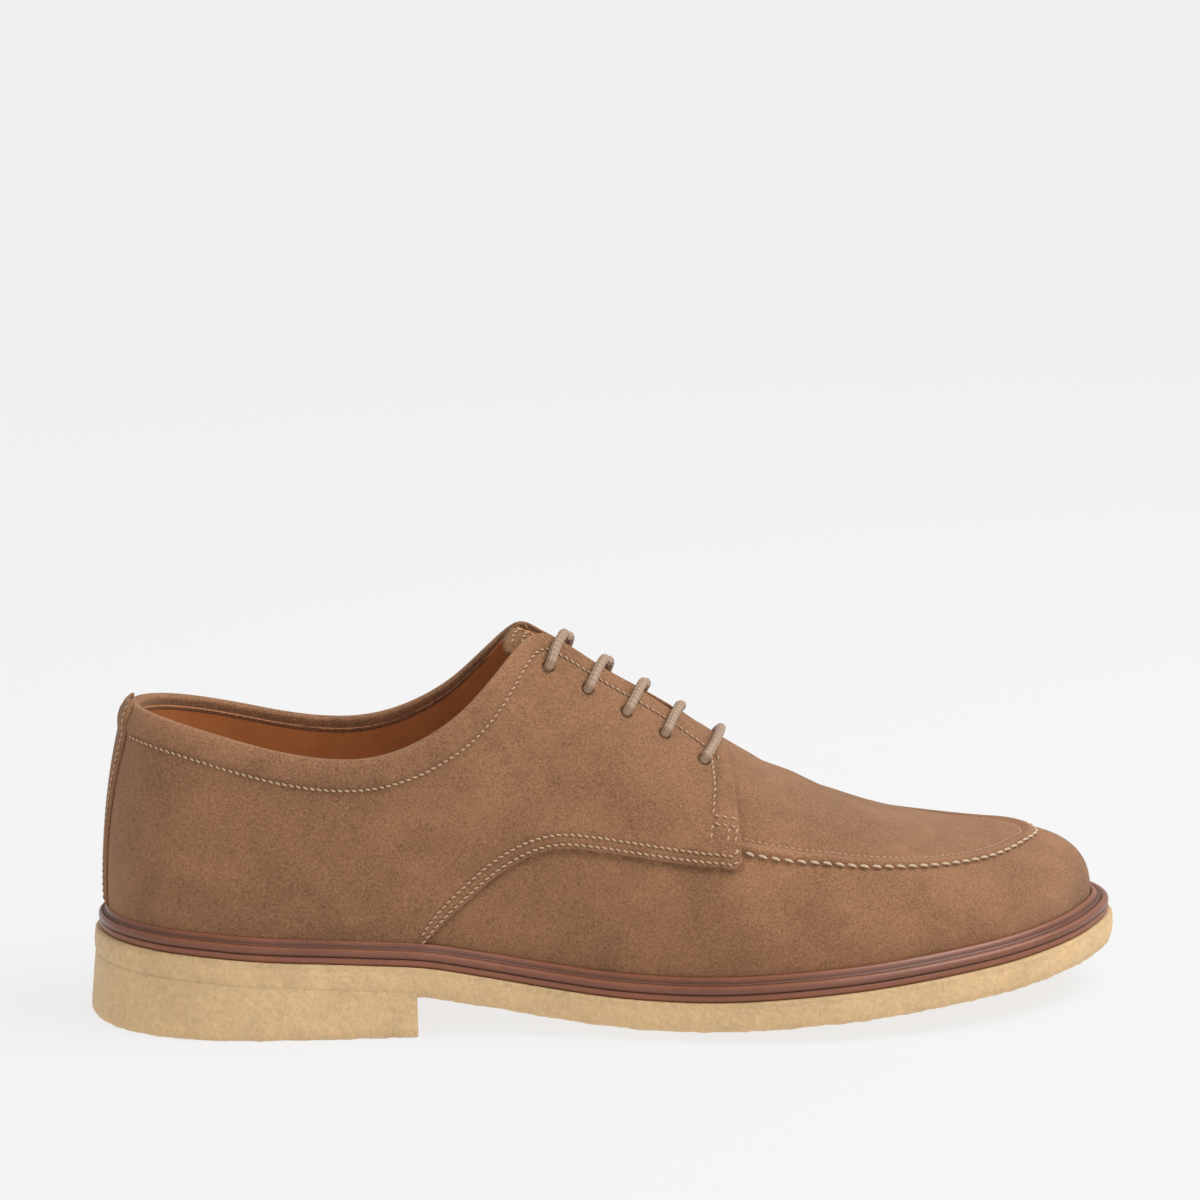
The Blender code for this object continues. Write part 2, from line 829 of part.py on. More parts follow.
def quarter_layer(slots, group):
    """Both quarters as one band round the heel, half sunk in the inner layer."""
    ring = quarter_rings()
    top = collar_top(ring)
    length = meridian_length(ring)
    low = first_climb(ring, over_quarter_line) + GAP / length
    edge = np.array([0.0, 1.2, 4.0, 8.0]) * MM
    upper_rows = top[:, None] - edge[None, ::-1] / length[:, None]
    lower_rows = low[:, None] + np.linspace(0.0, 1.0, 8)[None, :-1] * (upper_rows[:, :1] - low[:, None])
    climb = np.concatenate([lower_rows, upper_rows], axis=1)
    below = (top[:, None] - climb) * length[:, None]
    height = QUARTER_THICKNESS + collar_pad(ring[:, None], below)
    height[:, -1] = QUARTER_THICKNESS * 0.6
    outer = skin(ring[:, None], climb, height)
    sunk = skin(ring[:, None], climb, np.full_like(climb, -WALL / 2))
    points = np.concatenate([outer, sunk[:, ::-1]], axis=1)
    return grid_solid("quarters", points, slots["suede"], group, False, True)


def hole_places(side):
    """Ring and climb of the lace holes of one side (0 outer, 1 inner), front to top."""
    steps = np.linspace(0.36, 0.66, 301)
    ring = 2.0 - steps if side else steps
    climb = collar_top(ring) - HOLE_INSET / meridian_length(ring)
    x = surface(ring, climb)[:, 0]
    wanted = FIRST_HOLE + (MEDIAL_LEAD if side else 0.0) - HOLE_PITCH * np.arange(HOLE_ROWS)
    at = np.interp(wanted, x, steps)
    ring = 2.0 - at if side else at
    return ring, collar_top(ring) - HOLE_INSET / meridian_length(ring)


def hole_cutters(slots, cutters):
    """Round pins through the facings, joined in one cutter."""
    sides = 12
    turn = np.linspace(0.0, 2 * math.pi, sides, endpoint=False)
    points = []
    faces = []
    for side in (0, 1):
        ring, climb = hole_places(side)
        for middle, out in zip(surface(ring, climb), normal(ring, climb)):
            first = np.cross(out, np.array([1.0, 0.0, 0.0]))
            first /= np.linalg.norm(first)
            second = np.cross(out, first)
            circle = HOLE_DIAMETER / 2 * (np.cos(turn)[:, None] * first + np.sin(turn)[:, None] * second)
            start = len(points)
            points += list(middle + circle - out * 3 * WALL)
            points += list(middle + circle + out * 3 * WALL)
            faces.append([start + corner for corner in range(sides)])
            faces.append([start + sides + corner for corner in range(sides)])
            for corner in range(sides):
                after = (corner + 1) % sides
                faces.append([start + corner, start + after, start + sides + after, start + sides + corner])
    return mesh_object("cut_lace_holes", points, faces, slots["suede"], cutters)


def make_upper(slots, group, cutters):
    """One hollow solid: wall of the last's shape, thicker by a step at the quarters."""
    upper = inner_layer(slots, group)
    quarters = quarter_layer(slots, cutters)
    boolean(upper, quarters, "UNION")
    boolean(upper, hole_cutters(slots, cutters), "DIFFERENCE")
    return upper


def quarter_step(x):
    """Extra thickness of the upper at its lower edge, where the quarters reach the welt."""
    return QUARTER_THICKNESS * (1 - ease(*QUARTER_ENDS, np.asarray(x) / LAST_LENGTH))


def make_welt(slots, group):
    """Storm welt: bead against the upper, thin ridge and rounded band on the midsole."""
    ring = ring_places()
    foot, out = feather(ring, np.zeros_like(ring))
    clear = quarter_step(foot[:, 0]) + GAP
    low = skin(ring, np.zeros_like(ring), clear)
    low[:, 2] = foot[:, 2]
    climb = first_climb(ring, lambda points: points[..., 2] - points[:, :1, 2] - BEAD_HEIGHT)
    high = skin(ring, climb, clear)
    columns = [low, high]
    lean = np.linalg.norm((high - foot)[:, :2], axis=1)
    for share, height in WELT_PROFILE:
        place = feather(ring, lean + (tucked(WELT_REACH, ring) - lean) * share)[0]
        place[:, 2] = seat(place[:, 0]) + height * MM
        columns.append(place)
    points = np.stack(columns, axis=1)
    return grid_solid("welt", points, slots["welt_leather"], group, True, True)


def ring_at_crown(x):
    """Half ring whose crown point lies at a place along the shoe."""
    half = np.linspace(0.0, 1.0, 2001)
    return np.interp(x, smooth(CROWN_AT, half) * LAST_LENGTH, half)


def tongue_depth(x):
    """Depth of the tongue's face: under the lace runs, then close under the vamp in front."""
    laced = WALL + HIDDEN_CLEAR + LACE_FLAT + LACE_CLEAR + GAP
    close = WALL + GAP
    sink = TONGUE_SINK * (1 - ease(TONGUE_TOP, TONGUE_TOP + 20 * MM, x))
    return laced + sink + (close - laced) * ease(0.630, 0.672, np.asarray(x) / LAST_LENGTH)


def make_tongue(slots, group):
    """Tongue that follows the inside of the facings and stands above their top."""
    places = TONGUE_TOP + (TONGUE_FRONT - TONGUE_TOP) * np.array(TONGUE_ALONG)
    half = np.array(TONGUE_ACROSS)
    spread = TONGUE_HALF * np.concatenate([-half[::-1], half])
    shares = 1 - TONGUE_TAPER * ease(150 * MM, TONGUE_FRONT, places)
    rows = []
    for place, width in zip(places, shares):
        across = spread * width
        slant = TONGUE_SLANT * (1 - ease(TONGUE_TOP, FIRST_HOLE, place))
        x = place - slant * np.abs(across)
        half = ring_at_crown(x)
        ring = np.where(across < 0, half, 2.0 - half)
        climb = 1.0 - np.abs(across) / meridian_length(ring)
        face = tongue_depth(place)
        tip = np.abs(spread) > TONGUE_HALF * half[-2] * 1.01
        first = place == places[0]
        thin = np.where(tip | first, 0.45, 0.0) * TONGUE_THICKNESS
        top = skin(ring, climb, -(face + thin))
        under = skin(ring, climb, -(face + TONGUE_THICKNESS - thin * 0.6))
        rows.append(np.concatenate([top, under[::-1]]))
    return grid_solid("tongue", np.array(rows), slots["suede"], group, False, True)


def make_backstay(slots, group):
    """Strip over the back seam with a rounded tab over the collar edge."""
    shares, widths = np.array(BACKSTAY_HALF).T
    top = float(collar_top(np.array([0.0]))[0])
    length = float(meridian_length(np.array([0.0]))[0])
    low = BEAD_CLEAR / length
    climbs = low + shares * (top - TAB_DROP / length - low)
    half_loop = FEATHER_LOOP / 2
    rows = []
    for climb, width, share in zip(climbs, widths * MM, shares):
        across = np.linspace(-1.0, 1.0, 7) * width
        ring = (-across / half_loop) % 2.0
        at = np.full_like(across, climb)
        below = np.full_like(across, (top - climb) * length)
        base = QUARTER_THICKNESS + collar_pad(ring, below) + GAP
        if share == 1.0:
            base = base + TAB_LIFT
        edge = np.where(np.abs(across) > 0.99 * width, 0.5, 1.0)
        under = skin(ring, at, base)
        face = skin(ring, at, base + BACKSTAY_THICKNESS * edge)
        rows.append(np.concatenate([face, under[::-1]]))
    return grid_solid("backstay", np.array(rows), slots["suede"], group, False, True)


def bend(start, corner, end, radius, steps=4):
    """Rounded corner between two straight runs."""
    before = (start - corner) / np.linalg.norm(start - corner)
    after = (end - corner) / np.linalg.norm(end - corner)
    points = []
    for share in np.linspace(0.0, 1.0, steps):
        first = corner + before * radius * (1 - share)
        second = corner + after * radius * share
        points.append(first + (second - first) * share)
    return points


def lace_height():
    """Height of the middle of the lace where it lies on the facings."""
    return QUARTER_THICKNESS + GAP + LACE_CLEAR + LACE_DIAMETER / 2


def lace_path():
    """Middle line of the lace and the facing's outward direction at each place."""
    over = lace_height()
    under = -(WALL + HIDDEN_CLEAR + LACE_FLAT / 2)
    holes = []
    for side in (0, 1):
        ring, climb = hole_places(side)
        holes.append((surface(ring, climb), normal(ring, climb)))
    path = []
    side = 0
    for row in range(HOLE_ROWS):
        here, out = holes[side][0][row], holes[side][1][row]
        there, far_out = holes[1 - side][0][row], holes[1 - side][1][row]
        start = here + out * over
        stop = there + far_out * over
        lift = bar_points(start, stop, side, row)
        if row == 0:
            path.append((here + out * under, out, 0.0))
        path += [(point, out, 1.0) for point in bend(here + out * under, start, lift[0], LACE_BEND)]
        path += [(point, out, 1.0) for point in lift]
        path += [(point, far_out, 1.0) for point in bend(lift[-1], stop, there + far_out * under, LACE_BEND)]
        if row < HOLE_ROWS - 1:
            after, after_out = holes[1 - side][0][row + 1], holes[1 - side][1][row + 1]
            low_here = there + far_out * under
            low_next = after + after_out * under
            low_middle = hidden_middle(1 - side, row, under)
            path += [(point, far_out, 0.0) for point in bend(stop, low_here, low_middle, LACE_BEND)]
            path.append((low_middle, (far_out + after_out) / 2, 0.0))
            rise = bend(low_middle, low_next, after + after_out * over, LACE_BEND)
            path += [(point, after_out, 0.0) for point in rise]
        else:
            path.append((there + far_out * under, far_out, 0.0))
        side = 1 - side
    return path


def hidden_middle(side, row, under):
    """Middle of the run under a facing from one hole to the next."""
    ring, climb = hole_places(side)
    middle_ring = (ring[row] + ring[row + 1]) / 2
    middle_climb = (climb[row] + climb[row + 1]) / 2
    return skin(np.array([middle_ring]), np.array([middle_climb]), np.array([under]))[0]


def bar_points(start, stop, side, row):
    """Bar over the throat: it follows the facings and spans the gap between their edges."""
    edges = []
    over = lace_height()
    for which in (side, 1 - side):
        ring, climb = hole_places(which)
        for inset in (0.5, 1.0):
            edge = climb[row] + HOLE_INSET * inset / meridian_length(ring[row : row + 1])[0]
            edges.append(skin(ring[row : row + 1], np.array([edge]), np.array([over]))[0])
    near_middle, near_edge, far_middle, far_edge = edges
    middle = (near_edge + far_edge) / 2 + np.array([0.0, 0.0, BAR_LIFT])
    return [near_middle, near_edge, middle, far_edge, far_middle]


def make_lace(slots, group):
    """One continuous lace: five straight bars joined by flattened runs under the facings."""
    path = lace_path()
    centres = np.array([point for point, _, _ in path])
    keep = [0]
    for step in range(1, len(centres)):
        if np.linalg.norm(centres[step] - centres[keep[-1]]) > 0.3 * MM:
            keep.append(step)
    centres = centres[keep]
    outs = np.array([path[step][1] for step in keep])
    round_share = np.array([path[step][2] for step in keep])
    ahead = np.gradient(centres, axis=0)
    ahead /= np.linalg.norm(ahead, axis=1)[:, None]
    sides = 8
    turn = np.linspace(0.0, 2 * math.pi, sides, endpoint=False)
    across = np.cross(ahead[0], np.array([0.0, 0.3, 1.0]))
    rows = []
    for centre, direction, out, full in zip(centres, ahead, outs, round_share):
        across = across - direction * np.dot(across, direction)
        across /= np.linalg.norm(across)
        other = np.cross(direction, across)
        circle = np.cos(turn)[:, None] * across + np.sin(turn)[:, None] * other
        circle = circle * LACE_DIAMETER / 2
        out = out / np.linalg.norm(out)
        flat = (1 - full) * (1 - LACE_FLAT / LACE_DIAMETER) * max(0.0, 1 - abs(np.dot(direction, out))) ** 0.5
        circle = circle - flat * (circle @ out)[:, None] * out
        rows.append(centre + circle)
    return grid_solid("lace", np.array(rows), slots["lace_cord"], group, False, True)


def main():
    """Build every node and centre the part on its own outline."""
    for thing in list(bpy.data.objects):
        bpy.data.objects.remove(thing, do_unlink=True)
    slots = {name: material(name) for name in MATERIALS}
    group = collection("derby_shoe")
    cutters = collection("cutters")
    cutters.hide_render = True
    parts = [
        make_outsole(slots, group),
        make_heel(slots, group, cutters),
        make_midsole(slots, group),
        make_welt(slots, group),
        make_insole(slots, group),
        make_upper(slots, group, cutters),
        make_tongue(slots, group),
        make_backstay(slots, group),
        make_lace(slots, group),
    ]
    for tool in list(cutters.objects):
        bpy.data.objects.remove(tool, do_unlink=True)
    shift = centre_shift()
    for part in parts:
        for vertex in part.data.vertices:
            vertex.co.x -= shift[0]
            vertex.co.y -= shift[1]


main()
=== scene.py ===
"""Looks of the derby shoe: napped suede, seams, storm welt, crepe sole, lace and studio.

Sizes are in metres. Shoe places count from the back of the feather line, as the part's
source does, and move to the frame's origin once a piece is made. A place on the upper is
named by `ring` (0 heel, 1 toe, 2 heel again, outer side first) and `climb` (0 at the
feather line, 1 at the crown).
"""
import math

import bmesh
import bpy
import numpy as np
from mathutils import Matrix, Vector, noise


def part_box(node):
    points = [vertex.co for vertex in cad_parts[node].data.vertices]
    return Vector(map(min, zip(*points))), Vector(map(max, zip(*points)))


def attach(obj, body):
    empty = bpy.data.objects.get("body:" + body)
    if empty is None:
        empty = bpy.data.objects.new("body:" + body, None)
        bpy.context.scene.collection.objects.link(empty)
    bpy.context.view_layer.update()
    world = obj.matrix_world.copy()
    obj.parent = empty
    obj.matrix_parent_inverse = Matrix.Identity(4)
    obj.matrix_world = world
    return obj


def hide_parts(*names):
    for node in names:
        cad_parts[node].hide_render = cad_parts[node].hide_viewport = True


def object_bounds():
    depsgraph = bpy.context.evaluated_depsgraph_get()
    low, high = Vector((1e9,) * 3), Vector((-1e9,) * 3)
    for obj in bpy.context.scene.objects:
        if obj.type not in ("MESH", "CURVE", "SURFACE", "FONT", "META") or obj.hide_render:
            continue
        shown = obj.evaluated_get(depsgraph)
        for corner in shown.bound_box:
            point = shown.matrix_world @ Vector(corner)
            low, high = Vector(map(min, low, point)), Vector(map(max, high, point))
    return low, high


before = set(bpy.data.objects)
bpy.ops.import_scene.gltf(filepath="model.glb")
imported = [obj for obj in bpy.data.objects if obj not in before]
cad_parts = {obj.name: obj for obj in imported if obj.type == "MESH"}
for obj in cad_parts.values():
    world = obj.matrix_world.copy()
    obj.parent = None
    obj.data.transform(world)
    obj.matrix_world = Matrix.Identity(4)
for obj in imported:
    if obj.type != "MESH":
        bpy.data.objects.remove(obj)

bl_info = {
    "name": "Derby shoe looks",
    "version": (1, 0, 0),
    "blender": (4, 5, 0),
    "location": "View3D > Sidebar > Derby",
    "description": "Suede, seams, welt, crepe sole and lace for the derby shoe frame",
    "category": "Object",
}

MM = 0.001
CAD_LOW, CAD_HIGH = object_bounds()

# Reach of the sole layers beyond the feather line
CREPE_REACH = 6.6 * MM
CREPE_BULGE = 0.4 * MM
CREPE_ROUND = 1.2 * MM
WELT_REACH = 5.6 * MM
HEEL_FLARE = 1.8 * MM
HEEL_TUCK = 1.6 * MM
HEEL_EDGE_ROUND = 2.6 * MM

# What the frame's boxes measure as shares of the driving sizes
OUTLINE_SHARE = 1.001
BACKSTAY_TOP_SHARE = 0.8191
SHEET_TOP_SHARE = 1.1833

# Driving sizes, read back from the frame
LAST_LENGTH = CAD_HIGH.x - CAD_LOW.x - 2 * CREPE_REACH - CREPE_BULGE - HEEL_FLARE + HEEL_TUCK
BALL_WIDTH = (CAD_HIGH.y - CAD_LOW.y - 2 * (CREPE_REACH + CREPE_BULGE)) / OUTLINE_SHARE
INSTEP_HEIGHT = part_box("backstay")[1].z / BACKSTAY_TOP_SHARE
HEEL_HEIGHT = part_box("outsole")[1].z / SHEET_TOP_SHARE

# Thicknesses of the layers
WALL = 2.0 * MM
QUARTER_THICKNESS = 1.2 * MM
LINING_THICKNESS = 0.9 * MM
TONGUE_THICKNESS = 2.0 * MM
BACKSTAY_THICKNESS = 0.9 * MM
CREPE_THICKNESS = 8.4 * MM
MIDSOLE_THICKNESS = 1.8 * MM
INSOLE_THICKNESS = 3.0 * MM
GAP = 0.3 * MM
SOLE_ROCKER = 2.9 * MM
BEAD_HEIGHT = 3.2 * MM
BEAD_CLEAR = 5.8 * MM
BREAST_AT = 0.300
BREAST_HOLLOW = 2.0 * MM

# Share of the sheet's thickness at which the heel block begins
HEEL_JOINT = 0.80

# Apron seam, collar and facings
RIDGE_WIDTH = 3.4 * MM
RIDGE_HEIGHT = 1.3 * MM
COLLAR_PAD = 0.9 * MM
COLLAR_PAD_WIDTH = 8.0 * MM
COLLAR_ROLL = 0.9 * MM
LINING_DROP = 0.5 * MM
MEDIAL_LEAD = 6.5 * MM
MEDIAL_RISE = 1.5 * MM
FACING_FRONT = 0.620
QUARTER_ENDS = (0.302, 0.335)

# Climb above which the vamp counts as closed over the foot
CLOSED = 0.9999

# Tongue: places along, half width, taper, slant of its sides, depth and round corners
TONGUE_TOP = 119.5 * MM
TONGUE_FRONT = 195 * MM
TONGUE_HALF = 27 * MM
TONGUE_TAPER = 0.28
TONGUE_SLANT = 0.22
TONGUE_SINK = 1.2 * MM
TONGUE_CORNER = 1.6 * MM
TONGUE_FLAT = 0.55

# Lace and its holes
LACE_DIAMETER = 2.8 * MM
LACE_FLAT = 1.6 * MM
LACE_BEND = 1.9 * MM
LACE_CLEAR = 0.2 * MM
HIDDEN_CLEAR = 0.8 * MM
BAR_LIFT = 1.0 * MM
HOLE_DIAMETER = 4.2 * MM
HOLE_INSET = 15.0 * MM
HOLE_ROWS = 5
FIRST_HOLE = 169 * MM
HOLE_PITCH = 11.0 * MM

# Steps of the fine grids, and rows in the side of the crepe
HALF_STEPS = 270
CURVE_SAMPLES = 400
SHEET_ROWS = 14
ROUND_ROWS = 5
RAGGED_ROWS = 8

# Grid lines of the quarters: distances in millimetres from the front, lower and top edge
FRONT_STEPS = (6.0, 5.2, 4.4, 3.6, 2.9, 2.2, 1.6, 1.1, 0.7, 0.35, 0.0)
LOW_STEPS = (0.0, 0.35, 0.7, 1.0, 1.4, 1.9, 2.5, 3.2, 3.9, 4.8)
TOP_STEPS = (9.0, 8.2, 7.6, 7.1, 6.6, 6.1, 5.5, 4.8, 3.8, 2.8, 1.8, 1.0, 0.5, 0.0)

# Collar edge rolled over the lining: drop below the edge and depth, in millimetres
ROLLED_IN = (
    (1.0, 0.0),
    (2.0, 0.0),
    (3.0, 0.05),
    (3.3, -0.3),
    (3.5, -0.8),
)

# Distances of the seam rows from the edges that they follow
COLLAR_ROW = 6.6 * MM
LOWER_ROWS = (1.0 * MM, 3.2 * MM)
FRONT_ROW = 7.3 * MM
APRON_STITCH_AT = -1.25 * MM
APRON_FINE_ROW = 3.4 * MM

# Camera: distance, angles, focal share and where the aim falls in the picture
VIEW_DISTANCE = 1200 * MM
VIEW_YAW = 6.0
VIEW_ELEVATION = 14.0
SENSOR_WIDTH = 36.0
FOCAL_SHARE = 3.4243
PICTURE_PIXELS = 1200
AIM_SHOE = (150 * MM, 0.0, 40 * MM)
AIM_PIXEL = (629.03, 861.50)

# Feather line, outer side: share of the length, share of the ball width
LATERAL_EDGE = (
    (0.000, 0.000),
    (0.014, 0.142),
    (0.049, 0.244),
    (0.111, 0.305),
    (0.215, 0.325),
    (0.319, 0.330),
    (0.417, 0.355),
    (0.521, 0.426),
    (0.608, 0.490),
    (0.670, 0.511),
    (0.747, 0.495),
    (0.833, 0.428),
    (0.910, 0.307),
    (0.969, 0.142),
    (1.000, -0.041),
)

# Feather line, inner side: the same columns
MEDIAL_EDGE = (
    (0.014, 0.137),
    (0.049, 0.239),
    (0.104, 0.299),
    (0.208, 0.308),
    (0.312, 0.288),
    (0.399, 0.286),
    (0.486, 0.320),
    (0.573, 0.394),
    (0.660, 0.463),
    (0.747, 0.490),
    (0.833, 0.475),
    (0.910, 0.411),
    (0.969, 0.305),
    (0.996, 0.165),
)

# Top of the crepe: share of the length, share of the heel height
SOLE_LINE = (
    (-0.04, 1.200),
    (0.06, 1.125),
    (0.16, 1.030),
    (0.25, 0.965),
    (0.31, 0.905),
    (0.36, 0.790),
    (0.42, 0.650),
    (0.48, 0.548),
    (0.54, 0.508),
    (0.60, 0.525),
    (0.67, 0.590),
    (0.74, 0.655),
    (0.82, 0.745),
    (0.90, 0.825),
    (0.97, 0.915),
    (1.03, 1.010),
)

# Crown of the last: share of the length, share of the instep height
CROWN_HEIGHT = (
    (0.08, 1.050),
    (0.21, 1.085),
    (0.32, 1.080),
    (0.40, 1.045),
    (0.45, 0.985),
    (0.50, 0.893),
    (0.55, 0.800),
    (0.60, 0.706),
    (0.65, 0.625),
    (0.70, 0.560),
    (0.74, 0.513),
    (0.78, 0.473),
    (0.83, 0.441),
    (0.88, 0.414),
)

# Sideways place of the crown: share of the length, share of the ball width
CROWN_SIDE = (
    (0.00, 0.000),
    (0.30, 0.005),
    (0.50, 0.020),
    (0.70, 0.035),
    (1.00, 0.041),
)

# Crown place for each place round the feather line: half ring, share of the length
CROWN_AT = (
    (0.00, 0.100),
    (0.08, 0.115),
    (0.15, 0.150),
    (0.27, 0.262),
    (0.42, 0.417),
    (0.54, 0.550),
    (0.65, 0.668),
    (0.76, 0.770),
    (0.88, 0.830),
    (1.00, 0.850),
)

# Cross sections of the last: a row for each share of the length
SECTION_COLUMNS = ("along", "lean", "rise", "shoulder")
SECTIONS = (
    (0.00, 0.022, 0.290, 0.800),
    (0.05, 0.036, 0.300, 0.820),
    (0.12, 0.056, 0.305, 0.880),
    (0.25, 0.061, 0.310, 0.930),
    (0.34, 0.056, 0.360, 0.760),
    (0.42, 0.050, 0.440, 0.500),
    (0.55, 0.040, 0.460, 0.430),
    (0.67, 0.040, 0.570, 0.480),
    (0.80, 0.034, 0.740, 0.580),
    (0.92, 0.030, 0.800, 0.560),
    (1.00, 0.025, 1.050, 0.500),
)

# Collar line: share of the length, share of the instep height
TOPLINE = (
    (0.020, 0.818),
    (0.050, 0.804),
    (0.090, 0.780),
    (0.132, 0.752),
    (0.174, 0.726),
    (0.215, 0.710),
    (0.245, 0.708),
    (0.272, 0.718),
    (0.300, 0.742),
    (0.328, 0.780),
    (0.352, 0.824),
    (0.372, 0.872),
    (0.390, 0.918),
    (0.406, 0.958),
    (0.424, 0.980),
    (0.445, 0.988),
)

# Lower edge of the quarters: share of the length, share of the instep height
QUARTER_LINE = (
    (0.284, 0.150),
    (0.305, 0.225),
    (0.326, 0.285),
    (0.350, 0.343),
    (0.375, 0.397),
    (0.399, 0.436),
    (0.417, 0.456),
    (0.437, 0.467),
    (0.476, 0.461),
    (0.510, 0.448),
    (0.560, 0.430),
    (0.597, 0.421),
    (0.613, 0.421),
    (0.620, 0.440),
)

# Half the opening between the facings: share of the length, share of the ball width
THROAT_HALF = (
    (0.400, 0.083),
    (0.480, 0.090),
    (0.580, 0.094),
    (0.600, 0.108),
    (0.612, 0.135),
    (0.620, 0.180),
)

# Half the slot in the vamp under the facings, which ends before their front
SLOT_HALF = (
    (0.400, 0.088),
    (0.480, 0.095),
    (0.545, 0.095),
    (0.560, 0.080),
    (0.568, 0.055),
    (0.574, 0.000),
)

# Apron seam: share of the length, inset from the feather line as a share of the ball width
APRON_INSET = (
    (0.55, 0.110),
    (0.66, 0.122),
    (0.80, 0.128),
    (0.92, 0.150),
    (1.00, 0.180),
)

# Storm welt: share from the upper to its edge, height over the seat in millimetres, shade (painted shade
# in the grooves and under the edge, painted highlight on the ridges)
WELT_PROFILE = (
    (0.04, 3.9, 1.00),
    (0.11, 4.15, 1.10),
    (0.20, 4.05, 1.15),
    (0.28, 3.7, 1.05),
    (0.35, 3.1, 0.80),
    (0.39, 2.5, 0.40),
    (0.42, 2.3, 0.30),
    (0.45, 2.55, 0.90),
    (0.49, 2.6, 1.15),
    (0.53, 2.3, 0.60),
    (0.56, 1.75, 0.28),
    (0.60, 1.7, 0.35),
    (0.64, 2.05, 0.90),
    (0.71, 2.3, 1.15),
    (0.80, 2.35, 1.20),
    (0.89, 2.2, 1.10),
    (0.96, 1.85, 1.00),
    (1.00, 1.35, 0.90),
    (1.005, 0.7, 0.80),
    (0.99, 0.1, 0.45),
)

# Shade of each row round the edge of the runner, from its top to its underside: painted shade at the top
# and underside, a painted highlight on the outer edge
RUNNER_SHADES = (0.3, 0.35, 0.7, 1.0, 1.05, 0.95, 0.6, 0.3, 0.3)

# Backstay: share from its lower end to its tab, half width in millimetres
BACKSTAY_HALF = (
    (0.00, 4.6),
    (0.18, 4.8),
    (0.40, 5.6),
    (0.62, 7.6),
    (0.80, 9.8),
    (0.93, 10.4),
    (1.00, 9.0),
)

# Seams of a facing front: two ends as place along and height, in millimetres
FRONT_SEAMS = (
    (171.4, 74.0, 171.6, 67.0),
    (171.6, 67.0, 170.4, 60.4),
    (170.3, 60.3, 177.3, 58.9),
    (170.2, 58.3, 177.1, 57.0),
    (170.1, 58.3, 169.3, 54.4),
    (177.0, 57.0, 176.2, 53.2),
    (174.8, 57.2, 174.1, 53.6),
)

# Soft creases: side of the shoe (-1 outer, 1 inner, 0 both), two ends as place along and height, height
# of the swell and its half width, all in millimetres
CREASE_COLUMNS = ("side", "x0", "z0", "x1", "z1", "height", "width")
CREASES = (
    (-1, 28, 74, 36, 46, -0.45, 7),
    (-1, 50, 66, 66, 44, 0.50, 9),
    (-1, 74, 64, 96, 48, -0.50, 8),
    (-1, 98, 74, 112, 60, 0.45, 8),
    (-1, 120, 92, 134, 66, -0.55, 6),
    (-1, 140, 88, 152, 62, 0.40, 7),
    (-1, 120, 40, 150, 36, -0.40, 8),
    (-1, 150, 44, 178, 36, 0.40, 7),
    (-1, 184, 44, 196, 28, -0.55, 5),
    (-1, 200, 46, 210, 28, 0.45, 6),
    (-1, 214, 42, 226, 27, -0.40, 6),
    (1, 40, 70, 60, 44, -0.5, 9),
    (1, 84, 60, 112, 50, 0.5, 9),
    (1, 124, 84, 136, 54, -0.5, 7),
    (1, 176, 42, 196, 30, -0.5, 6),
    (1, 202, 44, 214, 28, 0.4, 6),
)

# Flex lines over the vamp: place along at the crown, backward slant, height, half width
FLEX_LINES = (
    (192, 0.35, -0.35, 3.5),
    (201, 0.30, 0.30, 4.0),
    (211, 0.25, -0.30, 3.5),
)

# Forward lead of a lace bar from its outer hole to the facing edge
BAR_LEAD = 4.2 * MM

# Sideways crook of each lace bar, front first, in millimetres
BAR_CROOK = (0.9, -1.0, 0.4, 0.6, -0.3)


